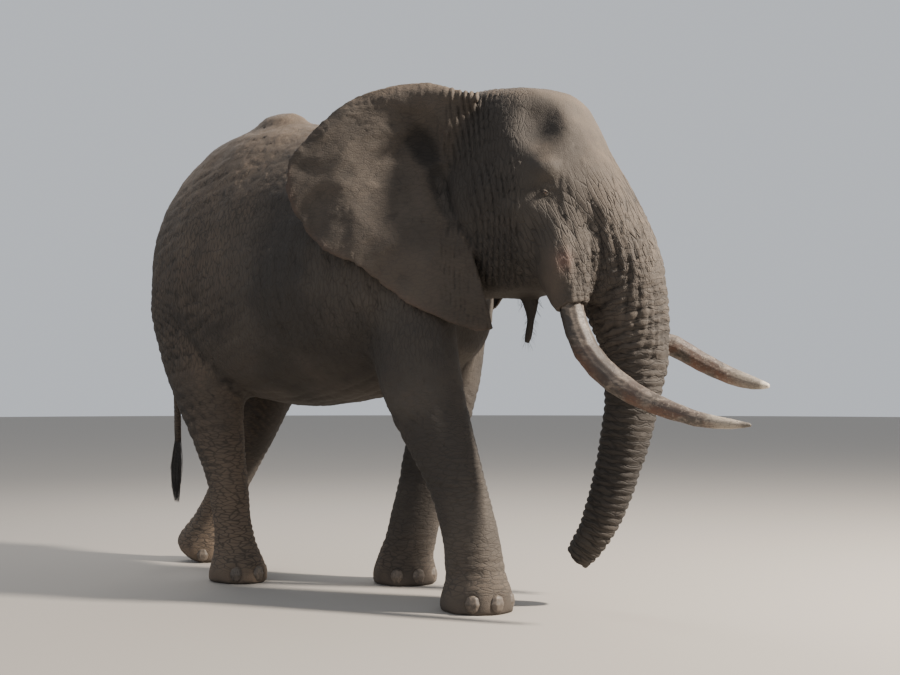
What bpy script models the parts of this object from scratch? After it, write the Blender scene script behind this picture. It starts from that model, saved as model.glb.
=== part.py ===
"""A walking African bush elephant bull, life size, as a still museum model.

Frame: +X is where the animal walks, +Y is its left side, +Z is up, and the floor is at z = 0.
The flesh is modelled whole, from tubes that are fused into one skin, and is then parted with thin cuts.
The head has a frame of its own, turned about a pivot in the neck. Lengths are in metres. Blender 4.5.
"""

import math

import bmesh
import bpy
from mathutils import Matrix, Vector
from mathutils.bvhtree import BVHTree

# ---------------------------------------------------------------- driving sizes
ORIGIN_SHIFT = Vector((-0.605, -0.065, 0.0))  # puts the floor point under the middle of the model at x = y = 0
GAP = 0.0005          # clearance between neighbouring pieces
FUSE_SIZE = 0.028     # grid of the fused skin
SMOOTHING = 8         # passes that soften where limbs meet the trunk
FLESH_TRIANGLES = 2360

HEAD_PIVOT = Vector((1.25, 0.0, 0.0))
HEAD_TURN = math.radians(15)   # the head looks a little to the animal's left
SIDES = {"right": -1, "left": 1}

# Torso: distance forward, back line, belly line, half width.
TORSO = [
    (-1.76, 2.69, 2.12, 0.14),
    (-1.66, 2.93, 1.83, 0.36),
    (-1.45, 3.14, 1.62, 0.57),
    (-1.10, 3.33, 1.45, 0.71),
    (-0.75, 3.40, 1.34, 0.76),
    (-0.35, 3.34, 1.26, 0.79),
    (0.10, 3.27, 1.30, 0.79),
    (0.45, 3.29, 1.40, 0.74),
    (0.75, 3.32, 1.47, 0.66),
    (0.89, 3.28, 1.54, 0.51),
    (0.99, 3.20, 1.66, 0.36),
    (1.06, 3.02, 1.86, 0.21),
]
TORSO_NARROWING = 0.22   # the back is narrower than the belly
NECK = [
    (0.75, 0.00, 2.52, 0.50, 0.72),
    (1.00, 0.00, 2.58, 0.46, 0.62),
    (1.25, 0.02, 2.64, 0.42, 0.56),
    (1.50, 0.06, 2.68, 0.38, 0.50),
]
SACRAL_HUMP = (-0.65, 0.0, 3.33, 0.28, 0.16, 0.145)   # centre, then half sizes

# Head, in its own frame: height, back of the slice, front of the slice, half width.
SKULL = [
    (3.355, -0.16, 0.46, 0.24),
    (3.29, -0.24, 0.67, 0.34),
    (3.13, -0.28, 0.78, 0.39),
    (2.95, -0.29, 0.86, 0.415),
    (2.75, -0.28, 0.92, 0.43),
    (2.55, -0.26, 0.94, 0.43),
    (2.35, -0.20, 0.88, 0.41),
    (2.16, -0.12, 0.76, 0.35),
    (2.02, 0.00, 0.58, 0.24),
]
# Trunk, from inside the forehead to the tip: forward, height, half width, half depth.
TRUNK = [
    (0.45, 3.01, 0.26, 0.27),
    (0.59, 2.81, 0.29, 0.30),
    (0.75, 2.51, 0.30, 0.32),
    (0.90, 2.21, 0.27, 0.305),
    (0.98, 1.92, 0.235, 0.280),
    (1.035, 1.60, 0.20, 0.220),
    (1.005, 1.28, 0.175, 0.182),
    (0.94, 0.98, 0.155, 0.160),
    (0.86, 0.70, 0.138, 0.143),
    (0.76, 0.46, 0.118, 0.122),
    (0.63, 0.285, 0.100, 0.098),
]
# Tusk sheaths, jaw and lip, in the head's frame: forward, sideways (+ is outwards), height, half width, half depth.
TUSK_SHEATH = [
    (0.58, 0.24, 2.52, 0.13, 0.17),
    (0.65, 0.29, 2.22, 0.140, 0.19),
    (0.695, 0.315, 2.02, 0.122, 0.155),
    (0.73, 0.33, 1.88, 0.100, 0.110),
]
JAW = [
    (-0.12, 0.0, 2.26, 0.31, 0.30),
    (0.04, 0.0, 2.19, 0.28, 0.22),
    (0.20, 0.0, 2.11, 0.22, 0.13),
    (0.34, 0.0, 2.07, 0.14, 0.09),
    (0.44, 0.0, 2.05, 0.08, 0.06),
]
LOWER_LIP = [
    (0.31, 0.0, 2.06, 0.062, 0.070),
    (0.33, 0.0, 1.95, 0.044, 0.056),
    (0.33, 0.0, 1.84, 0.030, 0.040),
    (0.312, 0.0, 1.74, 0.031, 0.040),
    (0.300, 0.0, 1.685, 0.022, 0.028),
]
# Legs, from the body down: forward, sideways, height, half depth, half width.
RIGHT_FORELEG = [
    (0.80, -0.30, 2.80, 0.20, 0.16),
    (0.83, -0.33, 2.50, 0.29, 0.21),
    (0.87, -0.34, 2.15, 0.33, 0.24),
    (0.93, -0.37, 1.80, 0.32, 0.24),
    (1.03, -0.40, 1.46, 0.30, 0.23),
    (1.18, -0.41, 1.12, 0.245, 0.20),
    (1.34, -0.41, 0.79, 0.195, 0.170),
    (1.44, -0.40, 0.45, 0.190, 0.168),
    (1.47, -0.39, 0.22, 0.205, 0.180),
    (1.48, -0.39, 0.08, 0.245, 0.225),
    (1.48, -0.39, -0.03, 0.250, 0.230),
]
LEFT_FORELEG = [
    (0.68, 0.30, 2.80, 0.20, 0.16),
    (0.68, 0.33, 2.50, 0.29, 0.21),
    (0.68, 0.34, 2.15, 0.31, 0.24),
    (0.66, 0.37, 1.80, 0.29, 0.24),
    (0.63, 0.37, 1.46, 0.27, 0.23),
    (0.58, 0.34, 1.12, 0.235, 0.20),
    (0.50, 0.31, 0.79, 0.195, 0.170),
    (0.42, 0.28, 0.45, 0.190, 0.168),
    (0.36, 0.27, 0.22, 0.205, 0.180),
    (0.34, 0.27, 0.08, 0.245, 0.225),
    (0.34, 0.27, -0.03, 0.250, 0.230),
]
RIGHT_HIND_LEG = [
    (-1.05, -0.30, 2.55, 0.38, 0.24),
    (-1.14, -0.36, 2.15, 0.47, 0.31),
    (-1.08, -0.40, 1.75, 0.40, 0.28),
    (-0.98, -0.42, 1.40, 0.31, 0.235),
    (-0.88, -0.42, 1.05, 0.215, 0.180),
    (-0.79, -0.41, 0.72, 0.160, 0.145),
    (-0.73, -0.41, 0.38, 0.150, 0.135),
    (-0.70, -0.41, 0.20, 0.185, 0.160),
    (-0.68, -0.41, 0.08, 0.235, 0.195),
    (-0.67, -0.41, -0.03, 0.240, 0.200),
]
LEFT_HIND_LEG = [
    (-1.05, 0.30, 2.55, 0.38, 0.24),
    (-1.14, 0.36, 2.15, 0.45, 0.30),
    (-1.16, 0.36, 1.75, 0.40, 0.28),
    (-1.20, 0.34, 1.40, 0.31, 0.235),
    (-1.30, 0.30, 1.05, 0.215, 0.180),
    (-1.44, 0.27, 0.74, 0.165, 0.145),
    (-1.58, 0.24, 0.46, 0.155, 0.138),
    (-1.67, 0.22, 0.28, 0.180, 0.160),
    (-1.74, 0.21, 0.15, 0.225, 0.190),
    (-1.79, 0.21, 0.06, 0.230, 0.195),
]
LEGS = {
    "foreleg_right": RIGHT_FORELEG, "foreleg_left": LEFT_FORELEG,
    "hindleg_right": RIGHT_HIND_LEG, "hindleg_left": LEFT_HIND_LEG,
}
TAIL = [
    (-1.46, 0.0, 2.74, 0.085, 0.085),
    (-1.66, 0.0, 2.62, 0.075, 0.075),
    (-1.79, 0.0, 2.36, 0.058, 0.058),
    (-1.84, 0.0, 1.95, 0.042, 0.042),
    (-1.84, 0.0, 1.45, 0.032, 0.032),
    (-1.82, 0.0, 0.92, 0.028, 0.028),
]
TAIL_SPLIT = 1.75        # height where the tail's two lengths meet
BRUSH_TOP = 0.96
TAIL_BRUSH = [
    (-1.82, 0.0, 1.00, 0.030, 0.032),
    (-1.83, 0.0, 0.84, 0.040, 0.062),
    (-1.84, 0.0, 0.70, 0.036, 0.070),
    (-1.83, 0.0, 0.57, 0.024, 0.048),
    (-1.82, 0.0, 0.46, 0.012, 0.018),
]

# Ears, in the plane of the ear: distance out from the root, height.
EAR_ROOT = [(-0.14, 3.20), (-0.06, 3.06), (0.00, 2.85), (-0.02, 2.60), (-0.11, 2.32)]
EAR_RIM = [
    (-0.19, 3.31), (0.01, 3.365), (0.17, 3.385), (0.36, 3.375), (0.52, 3.34), (0.68, 3.28), (0.84, 3.15),
    (1.00, 2.99), (1.11, 2.82), (1.08, 2.62), (1.00, 2.45), (0.88, 2.31), (0.77, 2.25), (0.63, 2.19),
    (0.53, 2.10), (0.42, 2.03), (0.33, 1.96), (0.17, 1.88), (0.01, 1.81), (-0.14, 1.76), (-0.26, 1.77),
]
EAR_ROOT_AT = {"right": (-0.05, 0.41), "left": (-0.16, 0.36)}   # forward and sideways, in the head's frame
EAR_FLARE = {"right": math.radians(20), "left": math.radians(64)}
EAR_SWING = {"right": 0.0, "left": math.radians(42)}   # how far the lobe is swung back about its pivot
EAR_SWING_HEIGHT = 2.55
EAR_ROOT_THICKNESS, EAR_RIM_THICKNESS = 0.070, 0.022
EAR_ROWS = 22
EAR_REACH = [0.0, 0.10, 0.36, 0.68, 1.0]   # from the root, inside the head, to the rim
EAR_ROOT_DEPTH = 0.13          # how far the root is sunk in the head
EAR_CLEARANCE = 0.030          # between the ear and the shoulder it hangs over

# Tusks: forward, sideways (+ is outwards), height, radius, in the head's frame. The two are not alike.
TUSKS = {
    "right": [
        (0.710, 0.325, 2.000, 0.070), (0.724, 0.332, 1.870, 0.077), (0.820, 0.365, 1.634, 0.080),
        (1.020, 0.410, 1.440, 0.076), (1.267, 0.455, 1.308, 0.063), (1.530, 0.485, 1.220, 0.047),
        (1.740, 0.490, 1.190, 0.029), (1.855, 0.485, 1.185, 0.010),
    ],
    "left": [
        (0.710, 0.325, 2.010, 0.070), (0.740, 0.340, 1.900, 0.073), (0.840, 0.380, 1.790, 0.074),
        (1.000, 0.430, 1.730, 0.073), (1.170, 0.475, 1.680, 0.071), (1.345, 0.515, 1.575, 0.066),
        (1.540, 0.530, 1.478, 0.058), (1.690, 0.520, 1.430, 0.043), (1.790, 0.510, 1.412, 0.014),
    ],
}
EYE_FROM = (0.465, 2.625)       # forward and height of the line through an eye, on the head's middle plane
EYE_HEADING = (0.25, 1.0)      # forward and outwards, along that line
EYE_RADIUS = 0.023
EYE_SET_BACK = 0.010           # from the skin to the middle of the ball

# Swells and hollows of the head: centre (both sides), radius, how far the skin moves out.
HEAD_SWELLS = [
    (0.52, 0.36, 3.07, 0.20, -0.055),   # temple hollow
    (0.58, 0.42, 2.76, 0.16, 0.030),    # brow
    (0.58, 0.44, 2.60, 0.12, -0.030),   # eye socket
    (0.18, 0.46, 2.62, 0.26, 0.030),    # cheek
    (0.80, 0.34, 2.42, 0.16, -0.030),   # below the eye, beside the trunk
]

# Where the flesh is parted. Outlines are (forward, height); the head's are in its own frame.
HEAD_OUTLINE = [(-0.36, 3.60), (-0.30, 3.15), (-0.10, 1.96), (-0.02, 1.72), (2.40, 1.72), (2.40, 3.60)]
JAW_OUTLINE = [(-0.60, 2.11), (0.45, 2.13), (0.45, 1.70), (-0.60, 1.70)]
NECK_OUTLINE = [(0.93, 3.60), (1.01, 1.60), (2.00, 1.60), (2.00, 3.60)]
TRUNK_CUTS = (4.45, 5.8, 7.2, 8.7)     # fractional rows of the trunk's table
TRUNK_CUT_WIDTH = 1.2                  # reach of a cut to each side, in half widths of the trunk there
LEG_CUTS = {                           # inner line, its height there, and the stretch of body it covers
    "foreleg_right": (0.06, 1.28, 0.62, 2.5), "foreleg_left": (0.06, 1.28, 0.33, 2.5),
    "hindleg_right": (0.05, 1.30, -2.6, -0.62), "hindleg_left": (0.05, 1.30, -2.6, -0.74),
}
LEG_JOINTS = {                         # knee and ankle, as fractional rows of the leg's table
    "foreleg_right": (5.0, 7.9), "foreleg_left": (5.0, 7.9),
    "hindleg_right": (4.0, 6.9), "hindleg_left": (4.0, 6.9),
}
MATERIALS = {
    "skin": ((0.16, 0.135, 0.12), 0.85), "ivory": ((0.62, 0.54, 0.42), 0.4), "eye": ((0.05, 0.03, 0.02), 0.1),
    "nail": ((0.32, 0.27, 0.22), 0.6), "brush": ((0.03, 0.025, 0.02), 0.7),
}
MATERIAL_OF = {"tusk": "ivory", "eye": "eye", "nail": "nail", "tail_brush": "brush"}

# Nails: how far round the front of a foot each one sits, in degrees from straight ahead.
FORE_NAILS = (-66, -24, 18, 60)
HIND_NAILS = (-45, 0, 45)
NAIL_SIZE = (0.030, 0.052, 0.058)   # half depth, half width, half height
NAIL_HEIGHT = 0.068
NAIL_PROUD = 0.012


# ---------------------------------------------------------------- building tools
def clear_scene():
    for obj in list(bpy.data.objects):
        bpy.data.objects.remove(obj)


def link(name, mesh):
    obj = bpy.data.objects.new(name, mesh)
    bpy.context.scene.collection.objects.link(obj)
    return obj


def new_object(name, bm):
    """Turns a bmesh into an object with its faces pointing out."""
    bmesh.ops.recalc_face_normals(bm, faces=bm.faces)
    mesh = bpy.data.meshes.new(name)
    bm.to_mesh(mesh)
    bm.free()
    return link(name, mesh)


def copy_of(obj, name):
    return link(name, obj.data.copy())


def curve_through(rows, steps):
    """Catmull-Rom rows between the given rows of numbers, passing through each."""
    rows = [Vector(row) for row in rows]
    last = len(rows) - 1
    found = []
    for i in range(last):
        before, after = rows[max(i - 1, 0)], rows[min(i + 2, last)]
        for step in range(steps):
            t = step / steps
            slope = rows[i + 1] - before
            bend = 2 * before - 5 * rows[i] + 4 * rows[i + 1] - after
            twist = 3 * rows[i] - before - 3 * rows[i + 1] + after
            found.append(rows[i] + (slope * t + bend * t * t + twist * t * t * t) / 2)
    return found + [rows[last]]


def tube(name, stations, sides=20, steps=3, narrowing=0.0, square=1.0, axis=None):
    """A closed tube through stations of (x, y, z, half across, half deep).

    Narrowing thins the upper (or front) edge; square below 1 fills the corners of the oval.
    Rings stand square to the path, or to the axis when one is given.
    """
    rows = curve_through(stations, steps)
    centres = [Vector(row[:3]) for row in rows]
    bm = bmesh.new()
    rings = []
    for i, row in enumerate(rows):
        along = axis or (centres[min(i + 1, len(rows) - 1)] - centres[max(i - 1, 0)]).normalized()
        deep = along.cross(Vector((0, 1, 0))).normalized()
        across = deep.cross(along).normalized()
        ring = []
        for k in range(sides):
            turn = math.tau * k / sides
            wide = math.copysign(abs(math.cos(turn)) ** square, math.cos(turn))
            high = math.copysign(abs(math.sin(turn)) ** square, math.sin(turn))
            offset = across * (row[3] * wide * (1 - narrowing * high)) + deep * (row[4] * high)
            ring.append(bm.verts.new(centres[i] + offset))
        rings.append(ring)
    for near, far in zip(rings, rings[1:]):
        for k in range(sides):
            bm.faces.new((near[k], near[(k + 1) % sides], far[(k + 1) % sides], far[k]))
    bmesh.ops.triangulate(bm, faces=bm.faces, quad_method="FIXED")   # a tube and its socket split alike
    bm.faces.new(rings[0])
    bm.faces.new(rings[-1])
    return new_object(name, bm)


def ellipsoid(name, centre, half_sizes, around=16, rings=8):
    bm = bmesh.new()
    bmesh.ops.create_uvsphere(bm, u_segments=around, v_segments=rings, radius=1.0)
    bmesh.ops.scale(bm, vec=half_sizes, verts=bm.verts)
    bmesh.ops.translate(bm, vec=centre, verts=bm.verts)
    return new_object(name, bm)


def head_to_body():
    return Matrix.Translation(HEAD_PIVOT) @ Matrix.Rotation(HEAD_TURN, 4, "Z")


def bake(obj):
    """Replaces an object's mesh by what its modifiers make of it."""
    graph = bpy.context.evaluated_depsgraph_get()
    mesh = bpy.data.meshes.new_from_object(obj.evaluated_get(graph))
    obj.modifiers.clear()
    obj.data = mesh
    return obj


def join(name, objects):
    bm = bmesh.new()
    for obj in objects:
        bm.from_mesh(obj.data)
        bpy.data.objects.remove(obj)
    mesh = bpy.data.meshes.new(name)
    bm.to_mesh(mesh)
    bm.free()
    return link(name, mesh)


def boolean(obj, cutter, operation):
    """Cuts an object by another and throws the cutter away."""
    modifier = obj.modifiers.new(operation.title(), "BOOLEAN")
    modifier.object = cutter
    modifier.operation = operation
    modifier.solver = "EXACT"
    bake(obj)
    bpy.data.objects.remove(cutter)
    return obj


def keep_largest(obj):
    """Drops the slivers that a cut can leave beside a piece."""
    bm = bmesh.new()
    bm.from_mesh(obj.data)
    islands, waiting = [], set(bm.verts)
    while waiting:
        island, edge = set(), [waiting.pop()]
        while edge:
            vertex = edge.pop()
            island.add(vertex)
            near = {link.other_vert(vertex) for link in vertex.link_edges} & waiting
            waiting -= near
            edge.extend(near)
        islands.append(island)
    largest = max(islands, key=len)
    bmesh.ops.delete(bm, geom=[v for island in islands if island is not largest for v in island], context="VERTS")
    bm.to_mesh(obj.data)
    bm.free()
    return obj


def touching(obj, other):
    return bool(surface_of(obj).overlap(surface_of(other)))


def swollen(obj):
    """A copy of a piece with its skin moved out by the gap, to cut neighbours with."""
    twin = copy_of(obj, "cutter")
    swell = twin.modifiers.new("Swell", "DISPLACE")
    swell.strength = GAP
    swell.mid_level = 0.0
    return bake(twin)


def prism(outline, axis, span, grow=0.0, frame=None):
    """A convex outline of (forward or sideways, height) pushed along the other level axis.

    Grow moves each side of the outline outwards. Frame carries the prism from the head's frame.
    """
    points = [Vector(point) for point in outline]
    middle = sum(points, Vector((0, 0))) / len(points)
    lines = []
    for here, there in zip(points, points[1:] + points[:1]):
        normal = Vector((there.y - here.y, here.x - there.x)).normalized()
        if normal.dot(here - middle) < 0:
            normal = -normal
        lines.append((normal, normal.dot(here) + grow))
    corners = []
    for (n1, d1), (n2, d2) in zip(lines[-1:] + lines[:-1], lines):
        cross = n1.x * n2.y - n1.y * n2.x
        corners.append(((d1 * n2.y - d2 * n1.y) / cross, (n1.x * d2 - n2.x * d1) / cross))
    bm = bmesh.new()
    ends = []
    for level in span:
        ends.append([bm.verts.new((u, level, v) if axis == "y" else (level, u, v)) for u, v in corners])
    count = len(corners)
    for k in range(count):
        bm.faces.new((ends[0][k], ends[0][(k + 1) % count], ends[1][(k + 1) % count], ends[1][k]))
    bm.faces.new(ends[0])
    bm.faces.new(ends[1])
    cutter = new_object("cutter", bm)
    if frame:
        cutter.data.transform(frame)
    return cutter


def take(rest, name, outline, axis, span, frame=None):
    """Parts off what lies in a prism as a new piece and leaves a thin gap round it."""
    piece = boolean(copy_of(rest, name), prism(outline, axis, span, 0.0, frame), "INTERSECT")
    boolean(rest, prism(outline, axis, span, GAP, frame), "DIFFERENCE")
    return piece


def point_along(rows, position):
    """Point and direction at a fractional row of a table of (forward, height) pairs."""
    index = min(int(position), len(rows) - 2)
    here, there = Vector(rows[index]), Vector(rows[index + 1])
    return here.lerp(there, position - index), (there - here).normalized()


def beyond(rows, position, reach):
    """Outline of all that lies past a cut square across a limb at a fractional row."""
    point, along = point_along(rows, position)
    across = Vector((-along.y, along.x)) * reach
    return [point + across, point - across, point - across + along * 3, point + across + along * 3]


def below(height):
    """Outline of all that lies lower than a height."""
    return [(-3, -1), (3, -1), (3, height), (-3, height)]


# ---------------------------------------------------------------- the flesh
def head_parts():
    """Skull, trunk, jaw and tusk sheaths, built in the head's frame and carried to the body's."""
    skull = [((back + front) / 2, 0, height, half, (front - back) / 2) for height, back, front, half in SKULL]
    trunk = [(forward, 0, height, half, deep) for forward, height, half, deep in TRUNK]
    parts = [
        tube("skull", skull, sides=24, square=0.9, axis=Vector((0, 0, -1))),
        tube("trunk", trunk, narrowing=-0.10),
        tube("jaw", JAW, sides=16),
    ]
    for sign in SIDES.values():
        parts.append(tube("sheath", [(x, sign * y, z, half, deep) for x, y, z, half, deep in TUSK_SHEATH]))
    for part in parts:
        part.data.transform(head_to_body())
    return parts


def whole_flesh():
    """Every fleshy mass fused into one skin, smoothed and dented, with flat soles on the floor."""
    torso = [(x, 0, (top + bottom) / 2, half, (top - bottom) / 2) for x, top, bottom, half in TORSO]
    parts = [
        tube("torso", torso, sides=28, narrowing=TORSO_NARROWING),
        tube("neck", NECK, narrowing=0.15),
        ellipsoid("hump", SACRAL_HUMP[:3], SACRAL_HUMP[3:]),
    ]
    for leg in LEGS.values():
        parts.append(tube("leg", [(x, y, z, half, deep) for x, y, z, deep, half in leg]))
    flesh = join("flesh", parts + head_parts())
    fuse = flesh.modifiers.new("Fuse", "REMESH")
    fuse.mode = "VOXEL"
    fuse.voxel_size = FUSE_SIZE
    smooth = flesh.modifiers.new("Smooth", "SMOOTH")
    smooth.factor = 0.5
    smooth.iterations = SMOOTHING
    bake(flesh)
    normals = [vertex.normal.copy() for vertex in flesh.data.vertices]
    for x, y, z, radius, amount in HEAD_SWELLS:
        for sign in SIDES.values():
            centre = head_to_body() @ Vector((x, sign * y, z))
            for vertex, normal in zip(flesh.data.vertices, normals):
                near = (vertex.co - centre).length / radius
                if near < 1:
                    vertex.co += normal * amount * (1 - near * near) ** 2
    thin = flesh.modifiers.new("Thin", "DECIMATE")
    thin.ratio = FLESH_TRIANGLES / sum(len(face.vertices) - 2 for face in flesh.data.polygons)
    bake(flesh)
    return boolean(flesh, prism([(-4, -1), (4, -1), (4, 0), (-4, 0)], "y", (-3, 3)), "DIFFERENCE")


# ---------------------------------------------------------------- ears and tusks
def ear_relief(reach, height, edge):
    """How far the sheet stands out from the ear's plane: hollow in front, rolled back at the rim."""
    hollow = -0.10 * math.exp(-((reach - 0.34) / 0.26) ** 2 - ((height - 2.90) / 0.40) ** 2)
    roll = -0.06 * edge ** 4
    wave = 0.028 * edge ** 2 * math.sin(8.0 * height + 3.0 * reach)
    return hollow + roll + wave


def sample(points, share):
    place = share * (len(points) - 1)
    index = min(int(place), len(points) - 2)
    return points[index].lerp(points[index + 1], place - index)


def lift_off(grid, facing, flesh):
    """Moves the ear's points outwards until the sheet hangs clear of the shoulder, and evens the move."""
    surface = BVHTree.FromObject(flesh, bpy.context.evaluated_depsgraph_get())
    needed = []
    for row in grid:
        line = []
        for point, thick, edge in row:
            hit = surface.ray_cast(point + facing, -facing)
            out = 1.0 - hit[3] if hit[0] else -1.0
            line.append(max(0.0, out + thick / 2 + EAR_CLEARANCE) if edge > 0.1 and out < 0.5 else 0.0)
        needed.append(line)
    moves = [line[:] for line in needed]
    rows, columns = len(grid), len(grid[0])
    for _ in range(30):
        previous = [line[:] for line in moves]
        for i in range(rows):
            for j in range(columns):
                around = [previous[a][b] for a, b in ((i - 1, j), (i + 1, j), (i, j - 1), (i, j + 1))
                          if 0 <= a < rows and 0 <= b < columns]
                even = sum(around) / len(around) * min(1.0, 4 * max(0.0, grid[i][j][2]))
                moves[i][j] = max(needed[i][j], even)
    return [[(point + facing * move, thick) for (point, thick, _), move in zip(row, line)]
            for row, line in zip(grid, moves)]


def ear(side, flesh):
    """A thick sheet from a root sunk in the head out to the rim, wavy and a little hollow."""
    sign, flare = SIDES[side], EAR_FLARE[side]
    frame = head_to_body()
    turn = frame.to_3x3()
    outward = turn @ Vector((-math.cos(flare), sign * math.sin(flare), 0))
    facing = turn @ Vector((math.sin(flare), sign * math.cos(flare), 0))
    base = frame @ Vector((EAR_ROOT_AT[side][0], sign * EAR_ROOT_AT[side][1], 0))
    up = Vector((0, 0, 1))
    root, rim = curve_through(EAR_ROOT, 8), curve_through(EAR_RIM, 4)
    grid = []
    for row in range(EAR_ROWS):
        share = row / (EAR_ROWS - 1)
        line = []
        for edge in EAR_REACH:
            reach, height = sample(root, share).lerp(sample(rim, share), edge)
            drop = max(0.0, EAR_SWING_HEIGHT - height) * edge
            reach += drop * math.sin(EAR_SWING[side])
            height += drop * (1 - math.cos(EAR_SWING[side]))
            thick = EAR_RIM_THICKNESS + (EAR_ROOT_THICKNESS - EAR_RIM_THICKNESS) * (1 - edge) ** 1.6
            point = base + outward * reach + up * height + facing * ear_relief(reach, height, edge)
            line.append((point, thick, edge))
        grid.append(line)
    bm = bmesh.new()
    rings = []
    for line in lift_off(grid, facing, flesh):
        start, thick = line[0]
        sunk = start - turn @ Vector((0, sign, 0)) * EAR_ROOT_DEPTH
        across = turn @ Vector((-1, 0, 0)) * thick / 2
        front = [bm.verts.new(sunk - across)] + [bm.verts.new(at + facing * wide / 2) for at, wide in line[1:]]
        back = [bm.verts.new(sunk + across)] + [bm.verts.new(at - facing * wide / 2) for at, wide in line[1:]]
        rings.append(front + back[::-1])
    for near, far in zip(rings, rings[1:]):
        for k in range(len(near)):
            bm.faces.new((near[k], near[(k + 1) % len(near)], far[(k + 1) % len(near)], far[k]))
    for ring in (rings[0], rings[-1]):
        for k in range(len(ring) // 2 - 1):
            bm.faces.new((ring[k], ring[k + 1], ring[-2 - k], ring[-1 - k]))
    return new_object(f"ear_{side}", bm)


def tusk(side, extra=0.0):
    """A tapering ivory tooth with a blunt tip; extra thickness and depth make the cutter for its socket."""
    stations = [(x, SIDES[side] * y, z, radius + extra, radius + extra) for x, y, z, radius in TUSKS[side]]
    start = Vector(stations[0])
    stations[0] = start + Vector((0, 0, 2 * extra, 0, 0))
    part = tube(f"tusk_{side}", stations, sides=10, steps=2)
    part.data.transform(head_to_body())
    return part


# ---------------------------------------------------------------- eyes, nails and tail
def skin_point(surface, middle, direction):
    """Where a ray from far outside, aimed back at a middle point, meets the skin."""
    return surface.ray_cast(middle + direction * 1.5, -direction)[0]


def surface_of(obj):
    return BVHTree.FromObject(obj, bpy.context.evaluated_depsgraph_get())


def eye(side, head, extra=0.0):
    """A ball sunk in the side of the head."""
    outward = head_to_body().to_3x3() @ Vector((EYE_HEADING[0], SIDES[side] * EYE_HEADING[1], 0)).normalized()
    middle = head_to_body() @ Vector((EYE_FROM[0], 0, EYE_FROM[1]))
    centre = skin_point(surface_of(head), middle, outward) - outward * EYE_SET_BACK
    radius = EYE_RADIUS + extra
    return ellipsoid(f"eye_{side}", centre, (radius, radius, radius), around=10, rings=5)


def nails(leg_name, foot):
    """Shield-shaped nails round the front of a foot, each set in a socket of its own."""
    x, y = LEGS[leg_name][-2][:2]
    angles = FORE_NAILS if leg_name.startswith("fore") else HIND_NAILS
    sign = SIDES[leg_name.split("_")[1]]
    surface = surface_of(foot)
    made = []
    for number, angle in enumerate(angles, 1):
        outward = Vector((math.cos(math.radians(angle)), sign * math.sin(math.radians(angle)), 0))
        skin = skin_point(surface, Vector((x, y, NAIL_HEIGHT)), outward)
        place = Matrix.Translation(skin - outward * (NAIL_SIZE[0] - NAIL_PROUD))
        place = place @ Vector((1, 0, 0)).rotation_difference(outward).to_matrix().to_4x4()
        for extra in (GAP, 0.0):
            nail = ellipsoid("nail", (0, 0, 0), [size + extra for size in NAIL_SIZE], around=6, rings=4)
            nail.data.transform(place)
            if extra:
                boolean(foot, nail, "DIFFERENCE")
        boolean(nail, prism([(-4, -1), (4, -1), (4, 0.004), (-4, 0.004)], "y", (-3, 3)), "DIFFERENCE")
        nail.name = f"nail_{leg_name}_{number}"
        made.append(nail)
    return made


# ---------------------------------------------------------------- parting
def part_head(flesh):
    """The trunk's lengths from the tip up, each cut square across, then the head and the jaw."""
    frame = head_to_body()
    trunk = [(forward, height) for forward, height, _, _ in TRUNK]
    pieces = {}
    for number in range(len(TRUNK_CUTS), 0, -1):
        cut = TRUNK_CUTS[number - 1]
        side = TRUNK_CUT_WIDTH * TRUNK[int(cut)][2]
        pieces[f"trunk_{number}"] = take(flesh, f"trunk_{number}", beyond(trunk, cut, 0.30), "y", (-side, side), frame)
    pieces["head"] = take(flesh, "head", HEAD_OUTLINE, "y", (-0.75, 0.75), frame)
    pieces["jaw"] = take(pieces["head"], "jaw", JAW_OUTLINE, "y", (-0.5, 0.5), frame)
    return pieces


def part_legs(flesh):
    """Three pieces to a leg: upper leg with the shoulder or hip, lower leg and foot."""
    pieces = {}
    for name, rows in LEGS.items():
        sign = SIDES[name.split("_")[1]]
        inner, rise, start, end = LEG_CUTS[name]
        line = [(row[0], row[2]) for row in rows]
        knee, ankle = LEG_JOINTS[name]
        own_side = sorted((-0.04 * sign, sign))
        lower = take(flesh, f"{name}_lower", beyond(line, knee, 0.6), "y", own_side)
        foot = take(lower, f"{name}_foot", beyond(line, ankle, 0.6), "y", own_side)
        outline = [(sign * inner, rise), (sign * 0.9, rise + 0.9 - inner), (sign * 0.9, 0.5), (sign * inner, 0.5)]
        upper = take(flesh, f"{name}_upper", outline, "x", (start, end))
        for piece in (upper, lower, foot, *nails(name, foot)):
            pieces[piece.name] = piece
    return pieces


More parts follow.
